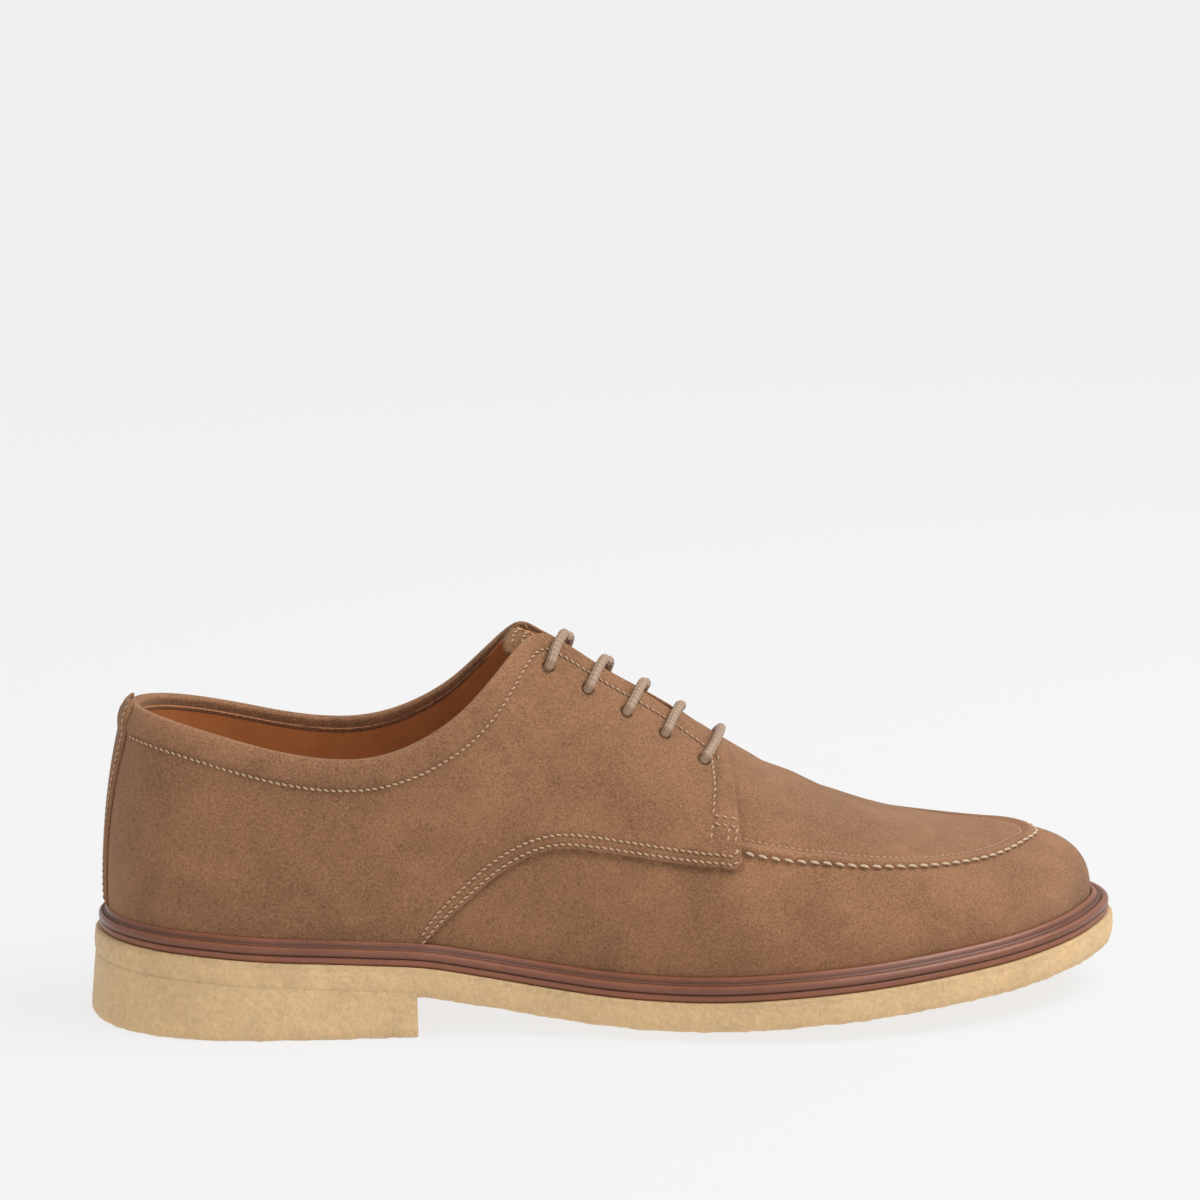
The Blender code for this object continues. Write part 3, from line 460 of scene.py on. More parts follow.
class ShoeLooks(bpy.types.PropertyGroup):
    """Sizes and colours of the finish that a user may change."""

    crease_depth: bpy.props.FloatProperty(
        name="Crease depth",
        description="Strength of the soft creases in the suede, 1 as drawn",
        default=1.0,
        min=0.0,
        max=3.0,
    )
    stitch_pitch: bpy.props.FloatProperty(
        name="Stitch pitch",
        description="Distance from one machine stitch to the next",
        default=1.95 * MM,
        unit="LENGTH",
    )
    thread: bpy.props.FloatProperty(
        name="Thread thickness",
        description="Thickness of the machine thread",
        default=0.62 * MM,
        unit="LENGTH",
    )
    apron_pitch: bpy.props.FloatProperty(
        name="Apron stitch pitch",
        description="Distance from one hand stitch to the next along the apron",
        default=3.7 * MM,
        unit="LENGTH",
    )
    apron_thread: bpy.props.FloatProperty(
        name="Apron thread thickness",
        description="Thickness of the thick thread of the apron seam",
        default=0.90 * MM,
        unit="LENGTH",
    )
    crumble: bpy.props.FloatProperty(
        name="Crepe crumble",
        description="Height of the crinkles on the side of the crepe",
        default=0.22 * MM,
        unit="LENGTH",
    )
    suede_colour: bpy.props.FloatVectorProperty(
        name="Suede",
        description="Main colour of the suede",
        subtype="COLOR",
        size=3,
        default=(0.300, 0.150, 0.076),
    )
    lining_colour: bpy.props.FloatVectorProperty(
        name="Lining",
        description="Colour of the smooth lining leather",
        subtype="COLOR",
        size=3,
        default=(0.50, 0.185, 0.060),
    )
    welt_colour: bpy.props.FloatVectorProperty(
        name="Welt",
        description="Colour of the welt and runner leather",
        subtype="COLOR",
        size=3,
        default=(0.215, 0.070, 0.032),
    )
    crepe_colour: bpy.props.FloatVectorProperty(
        name="Crepe",
        description="Colour of the crepe rubber",
        subtype="COLOR",
        size=3,
        default=(0.70, 0.475, 0.245),
    )
    thread_colour: bpy.props.FloatVectorProperty(
        name="Thread",
        description="Colour of the seam thread",
        subtype="COLOR",
        size=3,
        default=(0.52, 0.345, 0.215),
    )
    apron_thread_colour: bpy.props.FloatVectorProperty(
        name="Apron thread",
        description="Colour of the thick apron thread",
        subtype="COLOR",
        size=3,
        default=(0.60, 0.44, 0.30),
    )
    cord_colour: bpy.props.FloatVectorProperty(
        name="Lace",
        description="Colour of the braided lace",
        subtype="COLOR",
        size=3,
        default=(0.40, 0.265, 0.175),
    )


def looks():
    """The user's sizes and colours."""
    return bpy.context.scene.derby_looks


# Shape of the last

def smooth(rows, at, column=1):
    """Smooth curve through the rows of a short table, read at one place or many."""
    table = np.asarray(rows, float)
    places = table[:, 0]
    values = table[:, column]
    slopes = np.gradient(values, places)
    at = np.clip(np.asarray(at, float), places[0], places[-1])
    left = np.clip(np.searchsorted(places, at) - 1, 0, len(places) - 2)
    width = places[left + 1] - places[left]
    share = (at - places[left]) / width
    square = share * share
    cube = square * share
    return (
        (2 * cube - 3 * square + 1) * values[left]
        + (cube - 2 * square + share) * width * slopes[left]
        + (3 * square - 2 * cube) * values[left + 1]
        + (cube - square) * width * slopes[left + 1]
    )


def ease(low, high, at):
    """Soft step from 0 at `low` to 1 at `high`."""
    share = np.clip((np.asarray(at, float) - low) / (high - low), 0.0, 1.0)
    return share * share * (3 - 2 * share)


def swell(distance, width):
    """Bell of height 1 at no distance."""
    return np.exp(-((np.asarray(distance, float) / width) ** 2))


def feather_samples():
    """Dense samples of the closed feather line: ring share, place and outward direction."""
    outer = [(along * LAST_LENGTH, -across * BALL_WIDTH) for along, across in LATERAL_EDGE]
    inner = [(along * LAST_LENGTH, across * BALL_WIDTH) for along, across in MEDIAL_EDGE]
    corners = np.array(outer + inner[::-1])
    lead = 3
    wrapped = np.vstack([corners[-lead:], corners, corners[: lead + 1]])
    steps = np.linalg.norm(np.diff(wrapped, axis=0), axis=1)
    reach = np.concatenate([[0.0], np.cumsum(steps)])
    heel = reach[lead]
    toe = reach[lead + len(outer) - 1]
    back = reach[lead + len(corners)]
    rings = []
    places = []
    for side, (start, stop) in enumerate(((heel, toe), (toe, back))):
        at = np.linspace(start, stop, CURVE_SAMPLES + 1)
        curve = np.stack([smooth(np.c_[reach, wrapped[:, axis]], at) for axis in (0, 1)], axis=1)
        lengths = np.concatenate([[0.0], np.cumsum(np.linalg.norm(np.diff(curve, axis=0), axis=1))])
        rings.append(side + lengths / lengths[-1])
        places.append(curve)
    ring = np.concatenate([rings[0][:-1], rings[1]])
    place = np.vstack([places[0][:-1], places[1]])
    along = np.vstack([place[1:], place[1]]) - np.vstack([place[-2], place[:-1]])
    along /= np.linalg.norm(along, axis=1)[:, None]
    outward = np.c_[along[:, 1], -along[:, 0]]
    return ring, place, outward


FEATHER_RING, FEATHER_PLACE, FEATHER_OUT = feather_samples()
FEATHER_LOOP = np.linalg.norm(np.diff(FEATHER_PLACE, axis=0), axis=1).sum()


def sole_line(x):
    """Height of the top of the crepe."""
    return smooth(SOLE_LINE, np.asarray(x) / LAST_LENGTH) * HEEL_HEIGHT


def seat(x):
    """Height of the lower edge of the upper, just above the midsole."""
    return sole_line(x) + GAP + MIDSOLE_THICKNESS + GAP


def feather(ring, reach=0.0):
    """Places on the feather line, moved outward by `reach`, at the seat height."""
    ring = np.asarray(ring, float) % 2.0
    place = np.stack([np.interp(ring, FEATHER_RING, FEATHER_PLACE[:, axis]) for axis in (0, 1)], axis=-1)
    out = np.stack([np.interp(ring, FEATHER_RING, FEATHER_OUT[:, axis]) for axis in (0, 1)], axis=-1)
    out = out / np.linalg.norm(out, axis=-1, keepdims=True)
    moved = place + out * np.asarray(reach)[..., None]
    height = seat(moved[..., 0])
    zero = np.zeros_like(height)
    return (
        np.concatenate([moved, height[..., None]], axis=-1),
        np.concatenate([out, zero[..., None]], axis=-1),
    )


def crown(x):
    """Places on the crown line of the last."""
    share = np.asarray(x, float) / LAST_LENGTH
    side = smooth(CROWN_SIDE, share) * BALL_WIDTH
    height = smooth(CROWN_HEIGHT, share) * INSTEP_HEIGHT
    return np.stack([share * LAST_LENGTH, side, height], axis=-1)


def half_ring(ring):
    """Distance round from the heel, the same on both sides."""
    ring = np.asarray(ring, float) % 2.0
    return np.where(ring <= 1.0, ring, 2.0 - ring)


def crown_place(ring):
    """Place along the shoe of the crown point that a place round the feather line leads to."""
    return smooth(CROWN_AT, half_ring(ring)) * LAST_LENGTH


def section(column, along):
    """One column of the section table, read along the last."""
    return smooth(SECTIONS, along, SECTION_COLUMNS.index(column))


def surface(ring, climb):
    """Places on the skin of the last."""
    ring, climb = np.broadcast_arrays(np.asarray(ring, float), np.asarray(climb, float))
    foot, out = feather(ring, np.zeros_like(ring))
    along = foot[..., 0] / LAST_LENGTH
    top_x = crown_place(ring)
    top = crown(top_x)
    fall = (crown(top_x + MM) - crown(top_x - MM))[..., 2] / (2 * MM)
    side = (foot - top) * np.array([1.0, 1.0, 0.0])
    side[..., 2] = fall * side[..., 0]
    rise = (top - foot)[..., 2] * section("rise", along)
    low = foot + out * (section("lean", along) * BALL_WIDTH)[..., None]
    low[..., 2] = low[..., 2] + rise
    high = top + side * section("shoulder", along)[..., None]
    share = climb[..., None]
    rest = 1.0 - share
    return (
        rest ** 3 * foot
        + 3 * rest ** 2 * share * low
        + 3 * rest * share ** 2 * high
        + share ** 3 * top
    )


def normal(ring, climb):
    """Outward direction of the skin."""
    ring, climb = np.broadcast_arrays(np.asarray(ring, float), np.asarray(climb, float))
    climb = np.clip(climb, 0.01, 0.98)
    step = 0.008
    along = surface(ring + step, climb) - surface(ring - step, climb)
    up = surface(ring, climb + step) - surface(ring, climb - step)
    out = np.cross(along, up)
    return out / np.linalg.norm(out, axis=-1, keepdims=True)


def skin(ring, climb, height):
    """Places at a height above the skin of the last, or below it where the height is negative."""
    return surface(ring, climb) + normal(ring, climb) * np.asarray(height)[..., None]


def first_climb(ring, crossing):
    """Climb at which `crossing` of the place turns positive, and 1 where it never does."""
    climbs = np.linspace(0.0, 1.0, 201)
    value = crossing(surface(ring[:, None], climbs[None, :]))
    hit = value > 0
    at = np.argmax(hit, axis=1)
    before = np.maximum(at - 1, 0)
    rows = np.arange(len(ring))
    low = value[rows, before]
    high = value[rows, at]
    share = np.where(at > 0, low / np.where(low == high, -1.0, low - high), 0.0)
    climb = climbs[before] + share * (climbs[at] - climbs[before])
    return np.where(hit.any(axis=1), climb, 1.0)


def meridian_length(ring):
    """Length of the skin from the feather line to the crown."""
    points = surface(np.asarray(ring)[..., None], np.linspace(0.0, 1.0, 41))
    return np.linalg.norm(np.diff(points, axis=-2), axis=-1).sum(axis=-1)


def medial_shift(points):
    """How far a place on the inner side is read further back, because the facings lead there."""
    share = points[..., 0] / LAST_LENGTH
    side = points[..., 1] - crown(points[..., 0])[..., 1]
    return MEDIAL_LEAD * (side > 0) * ease(0.36, 0.44, share)


def over_topline(drop):
    """Crossing that is positive above the collar line lowered by `drop`."""
    def crossing(points):
        share = points[..., 0] / LAST_LENGTH
        side = points[..., 1] - crown(points[..., 0])[..., 1]
        rise = MEDIAL_RISE * (side > 0) * ease(0.33, 0.41, share)
        return points[..., 2] + drop - rise - smooth(TOPLINE, share) * INSTEP_HEIGHT
    return crossing


def inside_opening(rows):
    """Crossing that is positive within half the opening that a table gives."""
    def crossing(points):
        x = points[..., 0]
        side = points[..., 1] - crown(x)[..., 1]
        share = (x - medial_shift(points)) / LAST_LENGTH
        half = smooth(rows, share) * BALL_WIDTH
        return np.where(share > rows[0][0], half - np.abs(side), -half) - 0.01 * MM
    return crossing


def over_quarter_line(points):
    """Positive above the lower edge of the quarters."""
    share = (points[..., 0] - medial_shift(points)) / LAST_LENGTH
    return points[..., 2] - smooth(QUARTER_LINE, share) * INSTEP_HEIGHT


def inside_apron(points):
    """Positive once the skin has come in from the feather line by the apron inset."""
    foot = points[:, :1, :2]
    inset = smooth(APRON_INSET, foot[..., 0] / LAST_LENGTH) * BALL_WIDTH
    return np.linalg.norm(points[..., :2] - foot, axis=-1) - inset


def collar_top(ring):
    """Climb of the outer leather's top edge: collar line, then facing edge."""
    collar = first_climb(ring, over_topline(0.0))
    return np.minimum(collar, first_climb(ring, inside_opening(THROAT_HALF)))


def lining_top(ring):
    """Climb of the inner layer's top edge, 1 where the vamp closes over the foot."""
    lowered = first_climb(ring, over_topline(LINING_DROP))
    return np.minimum(lowered, first_climb(ring, inside_opening(SLOT_HALF)))


def along_share(ring):
    """Share of the length of a place on the feather line."""
    return feather(ring, np.zeros_like(ring))[0][..., 0] / LAST_LENGTH


def apron_climb(ring, top):
    """Climb of the apron seam, which fades into the middle of the wall behind the vamp."""
    seam = first_climb(ring, inside_apron)
    return top * 0.5 + (seam - top * 0.5) * ease(0.50, 0.58, along_share(ring))


def tucked(reach, ring):
    """Reach of a sole layer beyond the feather line, a little less behind the heel."""
    return reach - HEEL_TUCK * (1 - ease(0.0, 0.16, half_ring(ring)))


def centre_shift():
    """Middle of the sole's outline, which is the origin of the frame."""
    middle_x = (LAST_LENGTH + CREPE_BULGE - HEEL_FLARE + HEEL_TUCK) / 2
    ring = np.linspace(0.0, 2.0, 4 * CURVE_SAMPLES, endpoint=False)
    edge = feather(ring, tucked(CREPE_REACH + CREPE_BULGE, ring))[0]
    middle_y = (edge[:, 1].min() + edge[:, 1].max()) / 2
    return np.array([middle_x, middle_y, 0.0])


SHIFT = centre_shift()


# Mesh makers

def fine_half():
    """Half ring places of the fine grids."""
    even = np.linspace(0.0, 1.0, HALF_STEPS + 1)
    return even - 0.035 * np.sin(2 * math.pi * even)


def fine_ring():
    """Places round the whole feather line, the two sides mirrored."""
    half = fine_half()
    return np.concatenate([half, 2.0 - half[-2:0:-1]])


def grid_quads(rows, columns, wrap_rows, wrap_columns):
    """Corner numbers of the quads of a grid."""
    row = np.arange(rows if wrap_rows else rows - 1)
    column = np.arange(columns if wrap_columns else columns - 1)
    row, column = np.meshgrid(row, column, indexing="ij")
    next_row = (row + 1) % rows
    next_column = (column + 1) % columns
    corners = (
        row * columns + column,
        next_row * columns + column,
        next_row * columns + next_column,
        row * columns + next_column,
    )
    return np.stack(corners, axis=-1).reshape(-1, 4)


def finish_mesh(name, points, faces, shade=None, uv=None, weld=None):
    """Smooth object from points and faces, with a shade for each point (a colour factor that mostly
    holds painted shade and highlight) and a texture place.
    """
    mesh = bpy.data.meshes.new(name)
    placed = np.asarray(points, float).reshape(-1, 3) - SHIFT
    mesh.from_pydata(placed, [], [list(map(int, face)) for face in faces])
    if uv is not None:
        layer = mesh.uv_layers.new(name="lay")
        index = np.zeros(len(mesh.loops), int)
        mesh.loops.foreach_get("vertex_index", index)
        layer.data.foreach_set("uv", np.asarray(uv, float).reshape(-1, 2)[index].ravel())
    values = np.ones(len(placed)) if shade is None else np.broadcast_to(shade, (len(placed),))
    colours = np.ones((len(placed), 4))
    colours[:, :3] = values[:, None]
    attribute = mesh.color_attributes.new("shade", "FLOAT_COLOR", "POINT")
    attribute.data.foreach_set("color", colours.ravel())
    work = bmesh.new()
    work.from_mesh(mesh)
    if weld:
        bmesh.ops.remove_doubles(work, verts=work.verts, dist=weld)
    bmesh.ops.recalc_face_normals(work, faces=work.faces)
    work.to_mesh(mesh)
    work.free()
    mesh.polygons.foreach_set("use_smooth", np.ones(len(mesh.polygons), bool))
    made = bpy.data.objects.new(name, mesh)
    bpy.context.scene.collection.objects.link(made)
    return made


def grid_piece(name, points, wrap_rows, wrap_columns, shade=None, uv=None, weld=0.02 * MM):
    """Object from a grid of points."""
    rows, columns = points.shape[:2]
    faces = list(grid_quads(rows, columns, wrap_rows, wrap_columns))
    if wrap_columns and not wrap_rows:
        faces += cap_faces(np.arange(columns))
        faces += cap_faces(np.arange(columns) + (rows - 1) * columns)
    shade = None if shade is None else np.asarray(shade).ravel()
    return finish_mesh(name, points, faces, shade, uv, weld)


def cap_faces(line):
    """Faces that close the end of a grid whose outline goes up one skin and down the other."""
    count = len(line)
    faces = []
    for step in range(count // 2 - 1):
        faces.append((line[step], line[step + 1], line[count - 2 - step], line[count - 1 - step]))
    return faces


def settle(piece, slot_name, material, *nodes):
    """Give a piece its material and its body, and hide the solids that it stands for."""
    piece.data.materials.clear()
    piece.data.materials.append(material)
    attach(piece, "root")
    if nodes:
        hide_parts(*nodes)
    return piece


def boolean(target, tool, operation):
    """Exact Boolean, applied at once, after which the tool is removed."""
    modifier = target.modifiers.new(operation.lower(), "BOOLEAN")
    modifier.operation = operation
    modifier.solver = "EXACT"
    modifier.object = tool
    graph = bpy.context.evaluated_depsgraph_get()
    mesh = bpy.data.meshes.new_from_object(target.evaluated_get(graph))
    target.modifiers.clear()
    target.data = mesh
    bpy.data.objects.remove(tool, do_unlink=True)
    mesh.polygons.foreach_set("use_smooth", np.ones(len(mesh.polygons), bool))


def join_crown(points, column, top, twins):
    """Bring the crown points of the two sides together where the vamp is closed."""
    closed = top > CLOSED
    middle = (points[:, column] + points[twins, column]) / 2
    points[closed, column] = middle[closed]


# Creases and edges of the suede

def crease_height(points):
    """Height of the soft creases at places on the skin."""
    x = points[..., 0] / MM
    z = points[..., 2] / MM
    side = np.sign(points[..., 1] - crown(points[..., 0])[..., 1])
    total = np.zeros_like(x)
    for row in CREASES:
        crease = dict(zip(CREASE_COLUMNS, row))
        run = np.array([crease["x1"] - crease["x0"], crease["z1"] - crease["z0"]], float)
        share = ((x - crease["x0"]) * run[0] + (z - crease["z0"]) * run[1]) / (run @ run)
        share = np.clip(share, 0.0, 1.0)
        distance = np.hypot(x - crease["x0"] - share * run[0], z - crease["z0"] - share * run[1])
        shown = 1.0 if crease["side"] == 0 else (side == crease["side"])
        total += crease["height"] * swell(distance, crease["width"]) * shown
    across = np.abs(points[..., 1] - crown(points[..., 0])[..., 1]) / MM
    for place, slant, height, width in FLEX_LINES:
        total += height * swell(x - place + slant * across, width) * swell(across, 26.0)
    return total * MM * looks().crease_depth


def edge_slant(ring, climb):
    """How squarely the meridians meet an edge: 1 across it, less where they run along it."""
    edge = surface(ring, climb)
    along = np.gradient(edge, axis=0)
    along /= np.linalg.norm(along, axis=1)[:, None] + 1e-12
    up = edge - surface(ring, np.maximum(climb - 0.02, 0.0))
    up /= np.linalg.norm(up, axis=1)[:, None] + 1e-12
    slant = np.linalg.norm(np.cross(along, up), axis=1)
    return np.clip(softened(slant, 4), 0.35, 1.0)


def softened(values, reach):
    """Values of a row averaged with their neighbours."""
    weights = np.hanning(2 * reach + 3)[1:-1]
    weights /= weights.sum()
    padded = np.concatenate([np.full(reach, values[0]), values, np.full(reach, values[-1])])
    return np.convolve(padded, weights, mode="valid")


class QuarterPlan:
    """Grid of places over both quarters, with the distance of each from its edges."""

    def __init__(self):
        """Lay out the grid and measure each place from the edges."""
        self.ring = self.rings()
        self.length = meridian_length(self.ring)
        top = softened(collar_top(self.ring), 3)
        self.top = top - COLLAR_ROLL / self.length
        self.low = first_climb(self.ring, over_quarter_line) + GAP / self.length
        self.top_slant = edge_slant(self.ring, self.top)
        self.low_slant = edge_slant(self.ring, np.maximum(self.low, 0.03))
        self.climb = self.climbs()
        self.base = surface(self.ring[:, None], self.climb)
        self.from_top = (self.top[:, None] - self.climb) * (self.length * self.top_slant)[:, None]
        self.from_low = (self.climb - self.low[:, None]) * (self.length * self.low_slant)[:, None]
        step = np.linalg.norm(np.diff(self.base, axis=0), axis=2)
        from_inner = np.vstack([np.zeros(step.shape[1]), np.cumsum(step, axis=0)])
        from_outer = from_inner[-1] - from_inner
        self.from_front = np.minimum(from_inner, from_outer)

    def rings(self):
        """Ring places from the inner facing front round the heel to the outer facing front."""
        half = fine_half()
        sides = []
        for side in (0, 1):
            front_x = FACING_FRONT * LAST_LENGTH + (MEDIAL_LEAD if side else 0.0)
            steps = np.linspace(0.0, 1.0, 4001)
            x = feather(2.0 - steps if side else steps, np.zeros_like(steps))[0][:, 0]
            ends = np.interp(front_x - np.array(FRONT_STEPS) * MM, x, steps)
            kept = half[half < ends[0] - 0.002]
            sides.append(np.concatenate([kept, ends]))
        return np.concatenate([2.0 - sides[1][:0:-1], sides[0]])

    def climbs(self):
        """Climbs of the grid, closer together near the lower and the top edge."""
        low = self.low[:, None] + np.array(LOW_STEPS) * MM / self.length[:, None]
        top = self.top[:, None] - np.array(TOP_STEPS) * MM / self.length[:, None]
        share = np.linspace(0.0, 1.0, 60)[1:-1]
        middle = low[:, -1:] + (top[:, :1] - low[:, -1:]) * share
        return np.concatenate([low, middle, top], axis=1)

    def pad(self, ring, from_top):
        """Swelling of the collar at a distance below its edge; none along the facings."""
        share = np.clip(from_top / COLLAR_PAD_WIDTH, 0.0, 1.0)
        return COLLAR_PAD * np.sin(math.pi * share) * (1 - ease(0.38, 0.43, along_share(ring)))

    def height(self):
        """Height of the outer face over the skin, with rolled edges and seams drawn in."""
        edge = np.minimum(self.from_low, self.from_front)
        roll = 0.72 + 0.28 * np.sqrt(np.clip(1 - (1 - np.clip(edge / (0.7 * MM), 0, 1)) ** 2, 0, 1))
        height = QUARTER_THICKNESS * roll + self.pad(self.ring[:, None], self.from_top)
        height = height + crease_height(self.base) * ease(0.0, 9 * MM, self.from_top)
        return height - self.seam_pull()

    def seam_pull(self):
        """How far the seams draw the suede in."""
        pull = 0.26 * MM * swell(self.from_top - COLLAR_ROW, 0.8 * MM)
        pull = pull * (self.from_front > FRONT_ROW * 0.8)
        for row in LOWER_ROWS:
            pull = np.maximum(pull, 0.20 * MM * swell(self.from_low - row, 0.55 * MM))
        front = swell(self.from_front - FRONT_ROW, 0.8 * MM) * (self.from_top > COLLAR_ROW * 0.9)
        pull = np.maximum(pull, 0.22 * MM * front)
        return pull

    def shade(self):
        """Painted shade in the seams, where they draw the suede in, and a little lighter on the cut
        edges.
        """
        near_edge = np.minimum(np.minimum(self.from_low, self.from_front), self.from_top)
        light = 0.10 * swell(near_edge, 0.8 * MM)
        return 1.0 + light - self.seam_pull() / (0.26 * MM) * 0.26

    def row(self, edge, distance):
        """Ring and climb along a seam at a distance from the top or the lower edge."""
        if edge == "top":
            return self.ring, self.top - distance / (self.length * self.top_slant)
        return self.ring, self.low + distance / (self.length * self.low_slant)

    def place(self, ring, climb, lift):
        """Places and directions on the outer face of the quarters."""
        base = surface(ring, climb)
        out = normal(ring, climb)
        order = np.argsort(self.ring)
        top = np.interp(ring, self.ring[order], self.top[order])
        length = meridian_length(ring)
        pad = self.pad(ring, (top - climb) * length)
        fade = ease(0.0, 9 * MM, (top - climb) * length)
        height = QUARTER_THICKNESS + pad + crease_height(base) * fade + lift
        return base + out * height[:, None], out


PLANS = {}


def quarter_plan():
    """The quarters' grid, worked out once."""
    if "quarters" not in PLANS:
        PLANS["quarters"] = QuarterPlan()
    return PLANS["quarters"]


def facing_share(ring):
    """0 round the collar, 1 along the facings."""
    return ease(0.385, 0.425, along_share(ring))


# Pieces of the upper

def make_quarters():
    """Both quarters as one suede band, rolled over the collar and cut square at the facings."""
    plan = quarter_plan()
    ring = plan.ring[:, None]
    height = plan.height()
    outer = plan.base + normal(ring, plan.climb) * height[..., None]
    shade = [plan.shade()]
    columns = [outer]
    facing = facing_share(plan.ring)
    half = (QUARTER_THICKNESS + WALL) / 2 + (0.6 * MM - (QUARTER_THICKNESS + WALL) / 2) * facing
    middle = QUARTER_THICKNESS - half
    rim = []
    for turn in np.linspace(0.0, math.pi, 9)[1:]:
        lift = plan.top + COLLAR_ROLL * (1 - 0.35 * facing) * math.sin(turn) / plan.length
        rim.append(skin(plan.ring, lift, middle + half * math.cos(turn)))
    columns.append(np.stack(rim, axis=1))
    # The rolled rim is a little lighter; along the facings it runs from lighter on the outer side to
    # painted shade on the inner side, which faces the throat.
    shade.append(1.06 + facing[:, None] * np.linspace(0.10, -0.55, len(rim))[None, :])
    inside = []
    for drop, depth in ROLLED_IN:
        reach = drop * MM * (1 - 0.6 * facing)
        level = middle - half - depth * MM * (1 - facing) - facing * min(drop, 1.0) * 0.5 * MM
        inside.append(skin(plan.ring, plan.top - reach / plan.length, level))
    columns.append(np.stack(inside, axis=1))
    # The rolled-in suede is 0.92 times as light: painted shade inside the collar.
    shade.append(np.full((len(plan.ring), len(inside)), 0.92))
    buried = skin(plan.ring, plan.low, np.full(len(plan.ring), -0.6 * MM))
    points = np.concatenate([buried[:, None]] + columns, axis=1)
    # The buried row is 0.7 times as light: painted shade in the step under the lower edge.
    shades = np.concatenate([np.full((len(plan.ring), 1), 0.7)] + shade, axis=1)
    points, shades = closed_ends(points, shades, plan)
    piece = grid_piece("quarters", points, False, False, shades)
    cut_lace_holes(piece)
    return piece


def closed_ends(points, shades, plan):
    """Add a sunk row at each facing front, so that the cut edge has its thickness."""
    ends = []
    for row in (0, -1):
        ring = np.full(points.shape[1], plan.ring[row])
        inward = normal(ring[: plan.climb.shape[1]], plan.climb[row])
        sunk = points[row].copy()
        sunk[1 : 1 + plan.climb.shape[1]] -= inward * 1.8 * MM
        ends.append(sunk)
    points = np.concatenate([ends[0][None], points, ends[1][None]], axis=0)
    # The sunk end rows are 0.8 times as light: painted shade on the cut ends.
    shades = np.concatenate([shades[:1] * 0.8, shades, shades[-1:] * 0.8], axis=0)
    return points, shades


def hole_places(side):
    """Ring and climb of the lace holes of one side (0 outer, 1 inner), front to top."""
    steps = np.linspace(0.36, 0.66, 301)
    ring = 2.0 - steps if side else steps
    climb = collar_top(ring) - HOLE_INSET / meridian_length(ring)
    x = surface(ring, climb)[:, 0]
    wanted = FIRST_HOLE + (MEDIAL_LEAD if side else 0.0) - HOLE_PITCH * np.arange(HOLE_ROWS)
    at = np.interp(wanted, x, steps)
    ring = 2.0 - at if side else at
    return ring, collar_top(ring) - HOLE_INSET / meridian_length(ring)


def cut_lace_holes(piece):
    """Round pins through the facings."""
    sides = 24
    turn = np.linspace(0.0, 2 * math.pi, sides, endpoint=False)
    radius = HOLE_DIAMETER * 0.44
    points = []
    faces = []
    for side in (0, 1):
        ring, climb = hole_places(side)
        for middle, out in zip(surface(ring, climb), normal(ring, climb)):
            first = np.cross(out, np.array([1.0, 0.0, 0.0]))
            first /= np.linalg.norm(first)
            second = np.cross(out, first)
            circle = radius * (np.cos(turn)[:, None] * first + np.sin(turn)[:, None] * second)
            start = len(points)
            points += list(middle + circle - out * 3 * WALL)
            points += list(middle + circle + out * 3 * WALL)
            faces.append([start + corner for corner in range(sides)])
            faces.append([start + sides + corner for corner in range(sides)])
            for corner in range(sides):
                after = (corner + 1) % sides
                wall = (corner, after, sides + after, sides + corner)
                faces.append([start + number for number in wall])
    tool = finish_mesh("hole_pins", points, faces)
    boolean(piece, tool, "DIFFERENCE")


def ridge_share(ring):
    """Strength of the apron ridge, nothing where the quarter covers it."""
    return ease(0.56, 0.61, along_share(ring))


def apron_relief(distance):
    """Height of the apron seam at a distance inward from its middle."""
    half = RIDGE_WIDTH / 2
    ridge = np.cos(math.pi / 2 * np.clip((distance - 0.5 * MM) / (half * 1.45), -1.0, 1.0)) ** 1.5
    outer_groove = swell(distance + half + 0.35 * MM, 0.50 * MM)
    inner_groove = swell(distance - half - 0.30 * MM, 0.50 * MM)
    fine_row = swell(distance - APRON_FINE_ROW, 0.45 * MM)
    return RIDGE_HEIGHT * ridge - MM * (0.16 * outer_groove + 0.12 * inner_groove + 0.14 * fine_row)


def apron_shade(distance):
    """Painted shade of the apron seam: painted shade in the grooves, a painted highlight on the ridge.
    """
    half = RIDGE_WIDTH / 2
    dark = 0.22 * swell(distance - APRON_STITCH_AT, 0.7 * MM)
    dark = dark + 0.10 * swell(distance - APRON_FINE_ROW, 0.5 * MM)
    return 1.0 + 0.06 * swell(distance - 0.4 * half, 0.9 * MM) - dark


def vamp_rings():
    """Ring places of the vamp, mirrored about the toe."""
    half = fine_half()
    front = half[half > np.interp(0.27, along_share(half), half)]
    return np.concatenate([front, 2.0 - front[-2::-1]])


def quarter_shadow(ring, base):
    """Painted shadow on the suede close under the lower edge and in front of the front edge of the
    quarters.
    """
    under = over_quarter_line(base)
    inner = (np.asarray(ring) > 1.0)[:, None]
    front = (FACING_FRONT * LAST_LENGTH + MEDIAL_LEAD * inner) / LAST_LENGTH
    ahead = (along_share(ring)[:, None] - front) * LAST_LENGTH
    below = swell(under, 1.5 * MM) * (under < 0) * (ahead < 0.5 * MM)
    before = swell(ahead, 1.5 * MM) * (ahead > 0) * (under > -0.5 * MM)
    from_crown = np.abs(base[..., 1] - crown(base[..., 0])[..., 1])
    covered = 1 - ease(0.0, 4 * MM, 12 * MM - from_crown)
    return 1.0 - 0.36 * np.maximum(below, before * covered)


